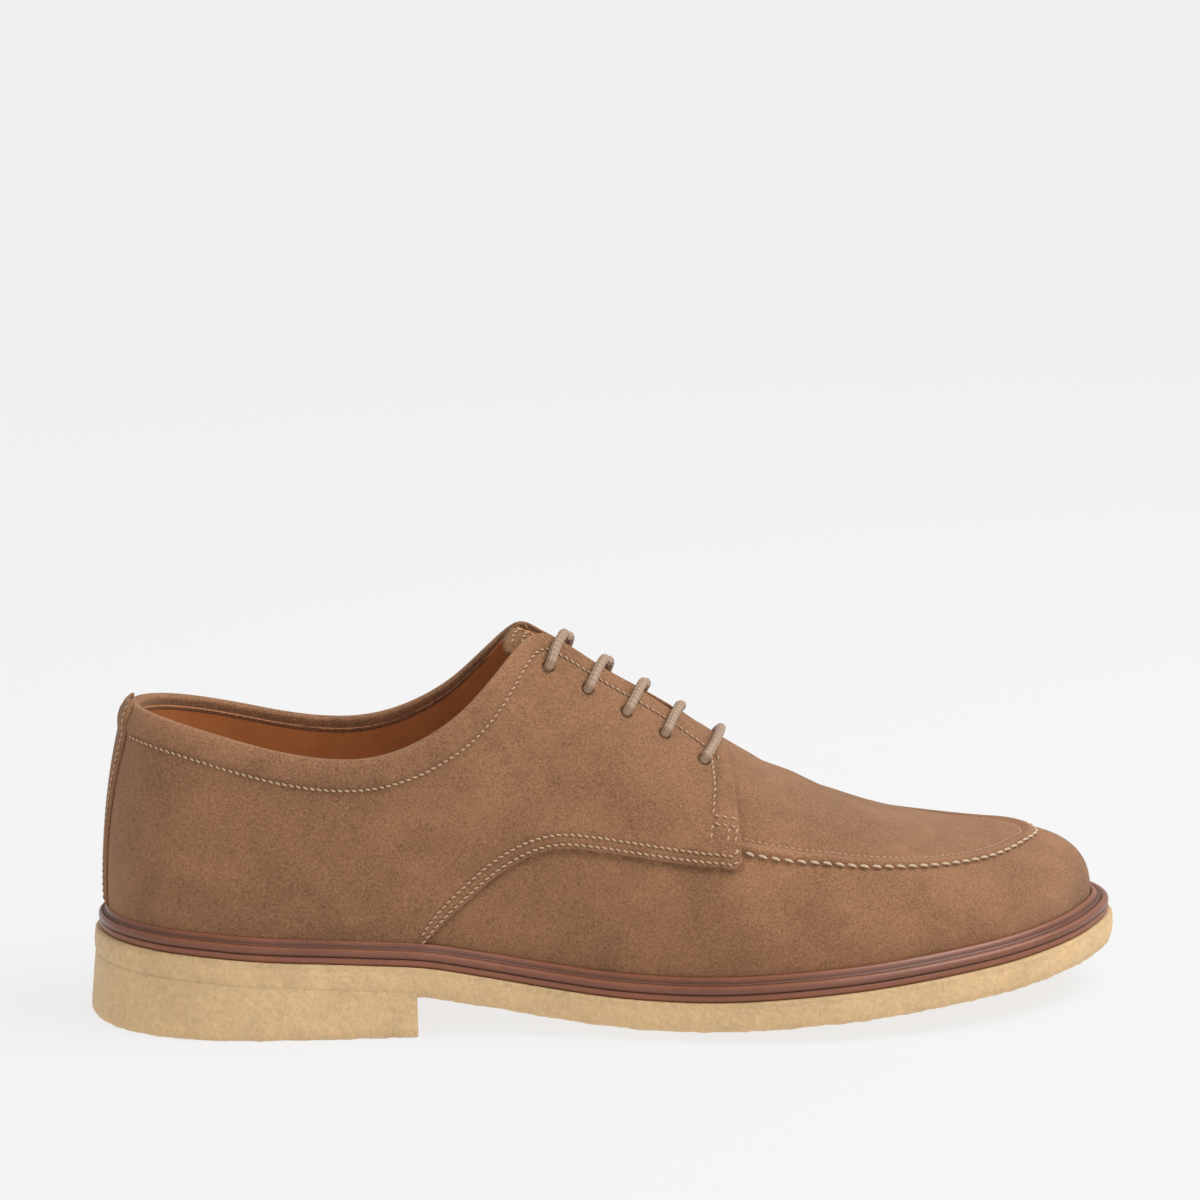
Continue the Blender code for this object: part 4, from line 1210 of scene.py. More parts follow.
def make_vamp():
    """Vamp and apron as one wall with the raised seam."""
    ring = vamp_rings()
    top = lining_top(ring)
    length = meridian_length(ring)
    seam = apron_climb(ring, top)
    before = -RIDGE_WIDTH
    after = RIDGE_WIDTH * 1.35
    wall = np.linspace(0.0, 1.0, 46)[None, :-1] * (seam + before / length)[:, None]
    band = seam[:, None] + np.linspace(before, after, 27)[None, :] / length[:, None]
    start = (seam + after / length)[:, None]
    plug = start + np.linspace(0.0, 1.0, 42)[None, 1:] * (top[:, None] - start)
    climb = np.minimum(np.concatenate([wall, band, plug], axis=1), top[:, None])
    distance = (climb - seam[:, None]) * length[:, None]
    strength = ridge_share(ring)[:, None]
    base = surface(ring[:, None], climb)
    height = apron_relief(distance) * strength + crease_height(base)
    outer = base + normal(ring[:, None], climb) * height[..., None]
    deep = np.linspace(1.0, 0.0, 26)[None, :] * top[:, None]
    inner = skin(ring[:, None], deep, np.full_like(deep, LINING_THICKNESS - WALL))
    twins = np.arange(len(ring))[::-1]
    points = np.concatenate([outer, inner], axis=1)
    join_crown(points, climb.shape[1] - 1, top, twins)
    join_crown(points, climb.shape[1], top, twins)
    # Painted shade: darker within 4 mm of the feather line by the welt, with the apron seam's painted
    # shade and highlight, the painted shadow of the quarters, and the inner face 0.8 times as light.
    foot = ease(0.0, 4 * MM, climb * length[:, None])
    shade = 1.0 + (apron_shade(distance) - 1.0) * strength
    shade = shade * (0.86 + 0.14 * foot) * quarter_shadow(ring, base)
    shades = np.concatenate([shade, np.full_like(deep, 0.8)], axis=1)
    return grid_piece("vamp", points, False, False, shades)


def make_lining():
    """Smooth leather layer inside the shoe."""
    ring = fine_ring()[::2]
    top = lining_top(ring)
    length = meridian_length(ring)
    facing = facing_share(ring)
    closed = top > CLOSED
    edge = top - np.where(closed, 0.0, 2.2 * MM * (1 - facing)) / length
    share = np.linspace(0.0, 1.0, 60)
    up = share[None, :] * edge[:, None]
    face = skin(ring[:, None], up, np.full_like(up, -WALL))
    back = skin(ring[:, None], up[:, ::-1], np.full_like(up, -WALL + LINING_THICKNESS))
    back[:, -1, 2] = face[:, 0, 2]
    points = np.concatenate([face, back], axis=1)
    twins = (-np.arange(len(ring))) % len(ring)
    join_crown(points, len(share) - 1, top, twins)
    join_crown(points, len(share), top, twins)
    return grid_piece("lining", points, True, False)


def backstay_half(share):
    """Half width of the backstay from its lower end to its tab."""
    table = np.array(BACKSTAY_HALF)
    return softened(np.interp(share, table[:, 0], table[:, 1]), 3) * MM


def make_backstay():
    """Suede strip over the back seam with a rounded tab over the collar edge."""
    plan = quarter_plan()
    top = float(collar_top(np.array([0.0]))[0])
    length = float(meridian_length(np.array([0.0]))[0])
    low = BEAD_CLEAR / length
    share = np.linspace(0.0, 1.0, 60)
    climb = low + share * (top + 0.2 * MM / length - low)
    widths = backstay_half(share)
    corner = np.clip((share - 0.94) / 0.06, 0.0, 1.0)
    widths = widths * (1 - 0.16 * corner ** 3)
    across = np.linspace(-1.0, 1.0, 25)
    ring = (-across[None, :] * widths[:, None] / (FEATHER_LOOP / 2)) % 2.0
    at = np.broadcast_to(climb[:, None], ring.shape)
    below = np.clip(top - at, 0.0, 1.0) * length
    base = QUARTER_THICKNESS + plan.pad(ring, below) + GAP * 0.5
    edge = (1 - np.abs(across[None, :])) * widths[:, None]
    ends = np.minimum((1 - share) * (top - low), share * (top - low))[:, None] * length
    edge = np.minimum(edge, ends)
    roll = 0.55 + 0.45 * np.sqrt(np.clip(1 - (1 - np.clip(edge / (0.8 * MM), 0, 1)) ** 2, 0, 1))
    pull = 0.22 * MM * swell(edge - 1.5 * MM, 0.6 * MM)
    face = skin(ring, at, base + BACKSTAY_THICKNESS * roll - pull)
    under = skin(ring, at, base - 0.4 * MM)
    points = np.concatenate([face, under[:, ::-1]], axis=1)
    # A little lighter on the rounded edges, painted shade where the seams draw it in, and the underside
    # 0.7 times as light: painted shade.
    light = 1.0 + 0.06 * (roll < 0.95) - 0.14 * pull / (0.22 * MM)
    shade = np.concatenate([light, np.full_like(light, 0.7)], axis=1)
    return grid_piece("backstay", points, False, True, shade)


def backstay_rows():
    """Seam rows along both edges of the backstay: places and directions."""
    plan = quarter_plan()
    top = float(collar_top(np.array([0.0]))[0])
    length = float(meridian_length(np.array([0.0]))[0])
    low = BEAD_CLEAR / length
    share = np.linspace(0.02, 0.985, 80)
    climb = low + share * (top - low)
    reach = backstay_half(share) - 1.5 * MM
    rows = []
    for side in (-1, 1):
        ring = (-side * reach / (FEATHER_LOOP / 2)) % 2.0
        below = (top - climb) * length
        height = QUARTER_THICKNESS + plan.pad(ring, below) + BACKSTAY_THICKNESS
        rows.append((skin(ring, climb, height), normal(ring, climb)))
    return rows


def ring_at_crown(x):
    """Half ring whose crown point lies at a place along the shoe."""
    half = np.linspace(0.0, 1.0, 2001)
    return np.interp(x, smooth(CROWN_AT, half) * LAST_LENGTH, half)


def tongue_depth(x):
    """Depth of the tongue's face: under the lace runs, then close under the vamp in front."""
    laced = WALL + HIDDEN_CLEAR + LACE_FLAT + LACE_CLEAR + GAP
    close = WALL + GAP
    sink = TONGUE_SINK * (1 - ease(TONGUE_TOP, TONGUE_TOP + 20 * MM, x))
    return laced + sink + (close - laced) * ease(0.630, 0.672, np.asarray(x) / LAST_LENGTH)


def tongue_place(place, across, depth):
    """Place of the tongue at a place along its middle and a distance across it."""
    slant = TONGUE_SLANT * (1 - ease(TONGUE_TOP, FIRST_HOLE, place))
    x = place - slant * np.abs(across)
    half = ring_at_crown(x)
    ring = np.where(across < 0, half, 2.0 - half)
    climb = 1.0 - np.abs(across) / meridian_length(ring)
    return skin(ring, climb, -depth), normal(ring, climb)


def tongue_corner(share):
    """How far the tongue's top is set back at a share of its half width, for its round corners."""
    inward = np.clip(share - TONGUE_FLAT, 0, 1 - TONGUE_FLAT) / (1 - TONGUE_FLAT)
    return TONGUE_CORNER * (1 - np.sqrt(np.clip(1 - inward ** 2, 0, 1)))


def make_tongue():
    """Suede tongue with a thinned rim."""
    places = TONGUE_TOP + (TONGUE_FRONT - TONGUE_TOP) * np.linspace(0.0, 1.0, 70) ** 1.15
    widths = TONGUE_HALF * (1 - TONGUE_TAPER * ease(150 * MM, TONGUE_FRONT, places))
    share = np.sin(np.linspace(-0.5, 0.5, 61) * math.pi)
    across = share[None, :] * widths[:, None]
    place = np.broadcast_to(places[:, None], across.shape)
    corner = tongue_corner(np.abs(share) * 1.02)
    fade = (1 - ease(TONGUE_TOP, TONGUE_TOP + 19 * MM, places))[:, None]
    place = place + corner[None, :] * fade
    edge = np.minimum((1 - np.abs(share))[None, :] * widths[:, None], (places - places[0])[:, None])
    thin = 0.5 * (1 - np.sqrt(np.clip(1 - (1 - np.clip(edge / MM, 0, 1)) ** 2, 0, 1))) * TONGUE_THICKNESS
    depth = tongue_depth(place)
    face, _ = tongue_place(place, across, depth + thin)
    under, _ = tongue_place(place, across, depth + TONGUE_THICKNESS - thin)
    points = np.concatenate([face, under[:, ::-1]], axis=1)
    # A little lighter at the thinned rim; the underside is 0.85 times as light: painted shade.
    shade = np.concatenate([1.0 + 0.08 * swell(edge, MM), np.full_like(edge, 0.85)], axis=1)
    return grid_piece("tongue", points, False, True, shade)


def tongue_rows():
    """Two seam rows along the top of the tongue: places and directions."""
    rows = []
    for inset in (2.0 * MM, 4.6 * MM):
        share = np.linspace(-0.86, 0.86, 60)
        across = share * (TONGUE_HALF - inset)
        place = TONGUE_TOP + inset + tongue_corner(np.abs(share))
        rows.append(tongue_place(place, across, tongue_depth(place)))
    return rows


# Welt, runner, crepe and insole

def quarter_step(x):
    """Extra thickness of the upper at its lower edge, where the quarters reach the welt."""
    return QUARTER_THICKNESS * (1 - ease(*QUARTER_ENDS, np.asarray(x) / LAST_LENGTH))


def make_welt():
    """Storm welt: bead against the upper, thin ridge and rounded band on the runner."""
    ring = fine_ring()
    foot = feather(ring, np.zeros_like(ring))[0]
    clear = quarter_step(foot[:, 0]) * 0.75 + GAP * 0.2
    low = skin(ring, np.zeros_like(ring), clear)
    low[:, 2] = foot[:, 2]
    climb = first_climb(ring, lambda points: points[..., 2] - points[:, :1, 2] - BEAD_HEIGHT)
    high = skin(ring, climb, clear)
    columns = [low, high]
    # The bead's foot and its top against the upper are 0.3 and 0.45 times as light: painted shade where
    # it meets the upper.
    shades = [0.3, 0.45]
    lean = np.linalg.norm((high - foot)[:, :2], axis=1)
    for share, height, shade in WELT_PROFILE:
        place = feather(ring, lean + (tucked(WELT_REACH, ring) - lean) * share)[0]
        place[:, 2] = seat(place[:, 0]) + height * MM
        columns.append(place)
        shades.append(shade)
    points = np.stack(columns, axis=1)
    shade = np.broadcast_to(np.array(shades), points.shape[:2])
    return grid_piece("welt", points, True, True, shade)


def pad_rows(ring, rows):
    """Points of a flat piece filled between the two sides of its outline."""
    columns = []
    for reach, share, height in rows:
        edge = feather(ring, tucked(reach, ring))[0]
        row = edge + (crown(crown_place(ring)) - edge) * share
        row[..., 2] = height(row[..., 0])
        columns.append(row)
    return np.stack(columns, axis=1)


def make_runner():
    """Thin leather runner between crepe and welt."""
    ring = fine_ring()
    middle = 0.5 * MIDSOLE_THICKNESS
    rows = [(WELT_REACH * 0.6, 0.3, lambda x: sole_line(x) + GAP + MIDSOLE_THICKNESS)]
    for turn in np.linspace(0.0, math.pi, 7):
        reach = WELT_REACH - 0.35 * MM + 0.35 * MM * math.sin(turn)
        lift = 0.1 * MM + middle + (middle + 0.15 * MM) * math.cos(turn)
        rows.append((reach, 0.0, lambda x, lift=lift: sole_line(x) + GAP + lift))
    rows.append((WELT_REACH * 0.6, 0.3, lambda x: sole_line(x) + GAP * 0.5))
    shade = np.broadcast_to(np.array(RUNNER_SHADES), (len(ring), len(rows)))
    return grid_piece("midsole_runner", pad_rows(ring, rows), True, True, shade)


def crumb_noise(points, size, seed):
    """Seeded noise between -1 and 1 at each place."""
    flat = points.reshape(-1, 3) / size + seed
    values = [noise.noise(Vector(place)) for place in flat]
    return np.array(values).reshape(points.shape[:-1])


def crumbled(points, out, amount):
    """Crinkled skin of the crepe: long swells and short crumbs along the outward direction."""
    relief = 0.75 * crumb_noise(points, 7 * MM, 3.1) + 0.7 * crumb_noise(points, 2.6 * MM, 9.4)
    relief = relief + 0.5 * crumb_noise(points, 1.3 * MM, 5.2)
    return points + out * (relief * amount)[..., None]


def ragged_share(count, start):
    """Share of the ragged lower edge in each row of a crepe side, nothing in the upper rows."""
    return np.concatenate([np.zeros(count - RAGGED_ROWS), np.linspace(start, 1.0, RAGGED_ROWS)])


def crepe_under(x):
    """Underside of the crepe sheet at its edge."""
    return np.maximum(sole_line(x) - CREPE_THICKNESS, 0.0)


def crepe_sink(drop):
    """Underside of the crepe, lower by a share of the rocker and flat on the floor."""
    def height(x):
        return np.maximum(sole_line(x) - CREPE_THICKNESS - drop * SOLE_ROCKER, 0.0)
    return height


def sheet_top(x):
    """Top of the crepe sheet, up against the runner."""
    return sole_line(x) + GAP * 0.6


def sheet_level(sink):
    """Height within the crepe sheet's side, down by a share of its thickness."""
    def height(x):
        return np.maximum(sole_line(x) - sink * CREPE_THICKNESS, 0.0)
    return height


def heel_top(x):
    """Top of the heel block, inside the sheet above it."""
    return sole_line(x) - HEEL_JOINT * CREPE_THICKNESS


def make_crepe_sheet():
    """Crepe sheet with its arch, toe spring and crumbled edge."""
    ring = fine_ring()
    rows = [(CREPE_REACH - 2 * MM, 0.3, sheet_top), (CREPE_REACH - 1.4 * MM, 0.0, sheet_top)]
    rows.append((CREPE_REACH - 0.35 * MM, 0.0, sheet_top))
    for share in np.linspace(0.05, HEEL_JOINT, SHEET_ROWS):
        reach = CREPE_REACH + CREPE_BULGE * math.sin(math.pi * share)
        rows.append((reach, 0.0, lambda x, share=share: sole_line(x) - share * CREPE_THICKNESS))
    rounding = CREPE_ROUND * ease(BREAST_AT - 0.006, BREAST_AT + 0.008, along_share(ring))
    for turn in np.linspace(0.15, 1.0, ROUND_ROWS) * math.pi / 2:
        reach = CREPE_REACH - rounding * (1 - math.cos(turn))
        rows.append((reach, 0.0, sheet_level(HEEL_JOINT + (1 - HEEL_JOINT) * math.sin(turn))))
    edge_rows = len(rows)
    for share in (0.03, 0.07, 0.12, 0.20, 0.32, 0.5, 0.7, 0.85, 1.0):
        rows.append((CREPE_REACH - CREPE_ROUND, share, crepe_sink(min(1.0, share * 3.0))))
    points = pad_rows(ring, rows)
    out = feather(ring, np.zeros_like(ring))[1]
    edge = points[:, :edge_rows]
    strength = np.concatenate([[0.0, 0.4, 0.9], np.full(SHEET_ROWS, 1.0), np.full(ROUND_ROWS, 1.5)])
    edge = crumbled(edge, out[:, None, :] * strength[None, :, None], looks().crumble)
    lower = ragged_share(edge_rows, 0.2)
    ragged = 0.40 * MM * (crumb_noise(edge, 3.0 * MM, 1.7) + 0.6 * crumb_noise(edge, 1.2 * MM, 7.7))
    edge[..., 2] = np.maximum(edge[..., 2] + ragged * lower[None, :], 0.0)
    points[:, :edge_rows] = edge
    under = points[:, edge_rows:]
    under[..., 2] = np.maximum(under[..., 2] + 0.15 * MM * crumb_noise(under, 3 * MM, 2.2), 0.0)
    return grid_piece("crepe_sheet", points, True, False, crepe_shade(points))


def crepe_shade(points):
    """Random crumb-sized blotches of tone, with painted shadow close under the welt, so lighter toward
    the lower edge.
    """
    height = (points[..., 2] - crepe_under(points[..., 0])) / CREPE_THICKNESS
    shade = 1.04 - 0.16 * swell(height - 1.0, 0.16)
    return shade + 0.07 * crumb_noise(points, 2.2 * MM, 4.4) + 0.05 * crumb_noise(points, 9 * MM, 8.1)


def make_crepe_heel():
    """Crepe heel block, flush with the sheet above it, with a slightly hollow breast."""
    ring = fine_ring()
    foot = CREPE_REACH + HEEL_FLARE
    rows = [(CREPE_REACH, 1.0, heel_top), (CREPE_REACH - 1.5 * MM, 0.0, heel_top)]
    for share in np.linspace(0.0, 1.0, 18):
        reach = CREPE_REACH + CREPE_BULGE * 0.5 * (1 - share) + HEEL_FLARE * share ** 1.2
        fall = lambda x, share=share: heel_top(x) * (1 - share) + HEEL_EDGE_ROUND * share
        rows.append((reach, 0.0, fall))
    for turn in np.linspace(0.25, 1.0, 4) * math.pi / 2:
        reach = foot - HEEL_EDGE_ROUND * 0.55 * (1 - math.cos(turn))
        lift = HEEL_EDGE_ROUND * (1 - math.sin(turn))
        rows.append((reach, 0.0, lambda x, lift=lift: np.full_like(x, lift)))
    edge_rows = len(rows)
    for share in (0.04, 0.10, 0.25, 0.6, 1.0):
        rows.append((foot - HEEL_EDGE_ROUND, share, np.zeros_like))
    points = pad_rows(ring, rows)
    out = feather(ring, np.zeros_like(ring))[1]
    edge = crumbled(points[:, 2:edge_rows], out[:, None, :], looks().crumble)
    lower = ragged_share(edge_rows - 2, 0.1)
    ragged = 0.35 * MM * (crumb_noise(edge, 3.2 * MM, 1.7) + 0.6 * crumb_noise(edge, 1.3 * MM, 7.7))
    edge[..., 2] = np.maximum(edge[..., 2] + ragged * lower[None, :], 0.0)
    points[:, 2:edge_rows] = edge
    heel = grid_piece("crepe_heel", points, True, False, crepe_shade(points))
    across = np.linspace(-1.0, 1.0, 41)
    x = BREAST_AT * LAST_LENGTH - BREAST_HOLLOW * (1 - across ** 2)
    back = np.stack([x, across * BALL_WIDTH * 0.5, np.zeros_like(x)], axis=1)
    reach = LAST_LENGTH * 1.2
    front = np.stack([np.full_like(x, reach), across * BALL_WIDTH, np.zeros_like(x)], axis=1)
    outline = np.vstack([back, front[::-1]])
    count = len(outline)
    corners = np.vstack([outline - [0, 0, HEEL_HEIGHT], outline + [0, 0, 2 * HEEL_HEIGHT]])
    faces = [list(range(count)), list(range(count, 2 * count))]
    for corner in range(count):
        after = (corner + 1) % count
        faces.append([corner, after, count + after, count + corner])
    boolean(heel, finish_mesh("breast_cut", corners, faces), "DIFFERENCE")
    return heel


def make_insole_sock():
    """Smooth leather sock with a softly raised rim."""
    ring = fine_ring()[::2]
    reach = -(WALL + GAP)
    top = lambda lift: (lambda x: seat(x) + INSOLE_THICKNESS + lift * MM)
    rows = ((reach, 0.0, seat), (reach, 0.0, top(-0.6)), (reach - 0.3 * MM, 0.0, top(0.0)))
    rows = rows + tuple((reach - 0.3 * MM, share, top(-0.5 * ease(0.0, 0.5, share))) for share in
                        (0.05, 0.12, 0.25, 0.45, 0.7, 1.0))
    return grid_piece("insole_sock", pad_rows(ring, rows), True, False)


# Lace

def bend(start, corner, end, radius, steps=7):
    """Rounded corner between two straight runs."""
    before = (start - corner) / np.linalg.norm(start - corner)
    after = (end - corner) / np.linalg.norm(end - corner)
    points = []
    for share in np.linspace(0.0, 1.0, steps):
        first = corner + before * radius * (1 - share)
        second = corner + after * radius * share
        points.append(first + (second - first) * share)
    return points


def lace_height():
    """Height of the middle of the lace where it lies on the facings."""
    return QUARTER_THICKNESS + GAP + LACE_CLEAR + LACE_DIAMETER / 2 - 0.2 * MM


def bar_points(side, row):
    """Bar over the throat: it follows the facings and spans the gap between their edges."""
    edges = []
    over = lace_height()
    for which in (side, 1 - side):
        ring, climb = hole_places(which)
        for inset in (0.5, 1.0):
            edge = climb[row] + HOLE_INSET * inset / meridian_length(ring[row : row + 1])[0]
            place = skin(ring[row : row + 1], np.array([edge]), np.array([over]))[0]
            lead = BAR_LEAD * inset * (1.0 if which == 0 else 0.45)
            fall = (crown(place[0] + lead) - crown(place[0]))[2]
            edges.append(place + np.array([lead, 0.0, fall]))
    near_middle, near_edge, far_middle, far_edge = edges
    crook = np.array([BAR_CROOK[row] * MM, 0.0, 0.0])
    middle = (near_edge + far_edge) / 2 + np.array([0.0, 0.0, BAR_LIFT * 0.3]) + crook * 0.6
    return [near_middle + crook, near_edge + crook * 0.8, middle, far_edge, far_middle]


def lace_path():
    """Middle line of the lace and the facing's outward direction at each place."""
    over = lace_height()
    under = -(WALL + HIDDEN_CLEAR + LACE_FLAT / 2)
    holes = []
    for side in (0, 1):
        ring, climb = hole_places(side)
        holes.append((surface(ring, climb), normal(ring, climb)))
    path = []
    side = 0
    for row in range(HOLE_ROWS):
        here, out = holes[side][0][row], holes[side][1][row]
        there, far_out = holes[1 - side][0][row], holes[1 - side][1][row]
        start = here + out * over
        stop = there + far_out * over
        bar = bar_points(side, row)
        path.append((here + out * under, out))
        path += [(point, out) for point in bend(here + out * under, start, bar[0], LACE_BEND)]
        path += [(point, out) for point in bar]
        path += [(point, far_out) for point in bend(bar[-1], stop, there + far_out * under, LACE_BEND)]
        path.append((there + far_out * under, far_out))
        side = 1 - side
    return path


def curve_through(points, step):
    """Even places on a smooth curve through points."""
    points = np.asarray(points)
    keep = [0]
    for at in range(1, len(points)):
        if np.linalg.norm(points[at] - points[keep[-1]]) > 0.3 * MM:
            keep.append(at)
    points = points[keep]
    reach = np.concatenate([[0.0], np.cumsum(np.linalg.norm(np.diff(points, axis=0), axis=1))])
    at = np.linspace(0.0, reach[-1], int(reach[-1] / step) + 1)
    return np.stack([smooth(np.c_[reach, points[:, axis]], at) for axis in range(3)], axis=1), at


def make_lace():
    """Braided cord through the facings, with a place along and round it for the braid."""
    places = [point for point, _ in lace_path()]
    centres, reach = curve_through(places, 0.45 * MM)
    ahead = np.gradient(centres, axis=0)
    ahead /= np.linalg.norm(ahead, axis=1)[:, None]
    sides = 20
    turn = np.linspace(0.0, 2 * math.pi, sides + 1)
    across = np.cross(ahead[0], np.array([0.0, 0.3, 1.0]))
    rings = []
    for centre, direction, at in zip(centres, ahead, reach):
        across = across - direction * np.dot(across, direction)
        across = across / np.linalg.norm(across)
        other = np.cross(direction, across)
        strand = np.sin(4 * turn + at / MM * 1.9) * np.sin(4 * turn - at / MM * 1.9)
        radius = LACE_DIAMETER / 2 * (1 + 0.055 * strand)
        spoke = np.cos(turn)[:, None] * across + np.sin(turn)[:, None] * other
        rings.append(centre + radius[:, None] * spoke)
    points = np.array(rings)
    uv = np.stack(np.broadcast_arrays(reach[:, None] / MM, turn[None, :] / (2 * math.pi)), axis=-1)
    return grid_piece("lace_cord", points, False, False, None, uv, weld=None)


# Stitches

def stitch_mesh(rows, pitch, share, thickness, lift, slant):
    """Points and faces of short rounded stitches along rows of places and directions."""
    stations = np.linspace(-0.5, 0.5, 7)
    swell_at = np.sqrt(np.clip(1 - (2 * stations) ** 4, 0.0, 1.0)) * 0.92 + 0.08
    turn = np.linspace(0.0, 2 * math.pi, 8, endpoint=False)
    points = []
    faces = []
    for places, outs in rows:
        reach = np.concatenate([[0.0], np.cumsum(np.linalg.norm(np.diff(places, axis=0), axis=1))])
        count = max(1, int(reach[-1] / pitch))
        for middle in (np.arange(count) + 0.5) * reach[-1] / count:
            at = middle + stations * pitch * share
            centre = np.stack([np.interp(at, reach, places[:, axis]) for axis in range(3)], axis=1)
            out = np.array([np.interp(middle, reach, outs[:, axis]) for axis in range(3)])
            out /= np.linalg.norm(out)
            ahead = centre[-1] - centre[0]
            ahead /= np.linalg.norm(ahead)
            across = np.cross(out, ahead)
            arch = (1 - (2 * stations) ** 2) * 0.35 * thickness + lift
            centre = centre + out * arch[:, None] + across * (stations * pitch * share * slant)[:, None]
            circle = np.cos(turn)[:, None] * across + 0.8 * np.sin(turn)[:, None] * out
            ring = centre[:, None, :] + circle[None] * (thickness / 2 * swell_at)[:, None, None]
            start = len(points)
            points += list(ring.reshape(-1, 3))
            for quad in grid_quads(len(stations), len(turn), False, True):
                faces.append([start + corner for corner in quad])
            faces.append([start + corner for corner in range(len(turn))])
            last = start + (len(stations) - 1) * len(turn)
            faces.append([last + corner for corner in range(len(turn))])
    return points, faces


def collar_and_facing_rows():
    """Rows along the collar and facings of both sides, down to the box at each front."""
    plan = quarter_plan()
    ring, climb = plan.row("top", COLLAR_ROW)
    column = np.argmin(np.abs(plan.from_top - COLLAR_ROW), axis=1)
    front = plan.from_front[np.arange(len(ring)), column]
    rows = []
    count = len(ring)
    heel = count // 2
    tab = 11.5 * MM
    walk = np.abs(np.where(ring > 1.0, 2.0 - ring, ring)) * FEATHER_LOOP / 2
    for part in (np.arange(count) > heel, np.arange(count) < heel):
        kept = part & (front > FRONT_ROW * 0.9) & (walk > tab)
        rows.append(plan.place(ring[kept] % 2.0, climb[kept], -0.16 * MM))
    return rows


def lower_rows():
    """Double row along the lower edge of the quarters, from the welt to the facing front."""
    plan = quarter_plan()
    rows = []
    count = len(plan.ring)
    for distance in LOWER_ROWS:
        ring, climb = plan.row("low", distance)
        column = np.argmin(np.abs(plan.from_low - distance), axis=1)
        front = plan.from_front[np.arange(count), column]
        above = climb * plan.length
        for part in (np.arange(count) > count // 2, np.arange(count) < count // 2):
            kept = part & (front > 1.2 * MM) & (plan.low > 0.02) & (above > 3.5 * MM)
            if kept.sum() > 3:
                rows.append(plan.place(ring[kept] % 2.0, climb[kept], -0.12 * MM))
    return rows


def side_place(x, z, side):
    """Ring and climb of places given along and up one side of the shoe (0 outer, 1 inner)."""
    half = np.linspace(0.35, 0.75, 81)
    climbs = np.linspace(0.05, 1.0, 96)
    ring = 2.0 - half if side else half
    grid = surface(ring[:, None], climbs[None, :])
    rings = []
    found = []
    for place_x, place_z in zip(x, z):
        gap = (grid[..., 0] - place_x) ** 2 + (grid[..., 2] - place_z) ** 2
        row, column = np.unravel_index(np.argmin(gap), gap.shape)
        at = np.array([ring[row], climbs[column]])
        for _ in range(8):
            here = surface(at[:1], at[1:])[0]
            step = 0.002
            by_ring = (surface(at[:1] + step, at[1:])[0] - here) / step
            by_climb = (surface(at[:1], at[1:] + step)[0] - here) / step
            slope = np.array([[by_ring[0], by_climb[0]], [by_ring[2], by_climb[2]]])
            at = at + np.linalg.solve(slope, np.array([place_x - here[0], place_z - here[2]]))
        rings.append(at[0])
        found.append(at[1])
    return np.array(rings), np.array(found)


def front_rows():
    """Row down each facing front and the small stitched box that holds it."""
    plan = quarter_plan()
    rows = []
    for side in (0, 1):
        lead = MEDIAL_LEAD if side else 0.0
        for x0, z0, x1, z1 in FRONT_SEAMS:
            share = np.linspace(0.0, 1.0, 12)
            x = (x0 + (x1 - x0) * share) * MM + lead
            z = (z0 + (z1 - z0) * share) * MM
            ring, climb = side_place(x, z, side)
            rows.append(plan.place(ring % 2.0, climb, -0.08 * MM))
    return rows


def apron_row(distance, lift):
    """Row along the apron seam at a distance inward from its middle."""
    ring = vamp_rings()
    share = along_share(ring)
    ring = ring[share > FACING_FRONT - 0.012]
    top = lining_top(ring)
    length = meridian_length(ring)
    climb = apron_climb(ring, top) + distance / length
    base = surface(ring, climb)
    height = crease_height(base) + apron_relief(np.full(len(ring), distance)) + lift
    out = normal(ring, climb)
    return [(base + out * height[:, None], out)]


def make_machine_stitches():
    """All the machine seams as one piece of short thread stitches."""
    rows = collar_and_facing_rows() + lower_rows() + front_rows()
    rows += backstay_rows() + tongue_rows()
    points, faces = stitch_mesh(rows, looks().stitch_pitch, 0.80, looks().thread, 0.08 * MM, -0.30)
    return finish_mesh("machine_stitches", points, faces)


def make_fine_row():
    """Fine row along the inner side of the apron ridge."""
    rows = apron_row(APRON_FINE_ROW, -0.08 * MM)
    points, faces = stitch_mesh(rows, looks().stitch_pitch, 0.72, looks().thread * 0.7, 0.02 * MM, -0.2)
    return finish_mesh("apron_fine_stitches", points, faces)


def make_apron_stitches():
    """Thick hand stitches along the foot of the apron ridge."""
    rows = apron_row(APRON_STITCH_AT, 0.05 * MM)
    points, faces = stitch_mesh(rows, looks().apron_pitch, 0.74, looks().apron_thread, 0.10 * MM, -0.22)
    return finish_mesh("apron_stitches", points, faces)


# Materials

def node(tree, kind, **inputs):
    """New node with some of its inputs set or linked."""
    made = tree.nodes.new(kind)
    for name, value in inputs.items():
        join(tree, value, made.inputs[name.replace("_", " ")])
    return made


def join(tree, value, socket):
    """Link a socket, or set it where a plain value is given."""
    if isinstance(value, bpy.types.NodeSocket):
        tree.links.new(value, socket)
    else:
        socket.default_value = value


def mixed(tree, blend, factor, first, second):
    """Colour mix of two colours."""
    made = tree.nodes.new("ShaderNodeMix")
    made.data_type = "RGBA"
    made.blend_type = blend
    join(tree, factor, made.inputs[0])
    join(tree, first, made.inputs[6])
    join(tree, second, made.inputs[7])
    return made.outputs[2]


def sums(tree, operation, first, second):
    """Result of a Math node."""
    made = tree.nodes.new("ShaderNodeMath")
    made.operation = operation
    join(tree, first, made.inputs[0])
    join(tree, second, made.inputs[1])
    return made.outputs[0]


def ranged(tree, value, low, high, to_low, to_high):
    """Value moved from one range to another."""
    made = node(tree, "ShaderNodeMapRange")
    join(tree, value, made.inputs["Value"])
    made.inputs["From Min"].default_value = low
    made.inputs["From Max"].default_value = high
    made.inputs["To Min"].default_value = to_low
    made.inputs["To Max"].default_value = to_high
    return made.outputs["Result"]


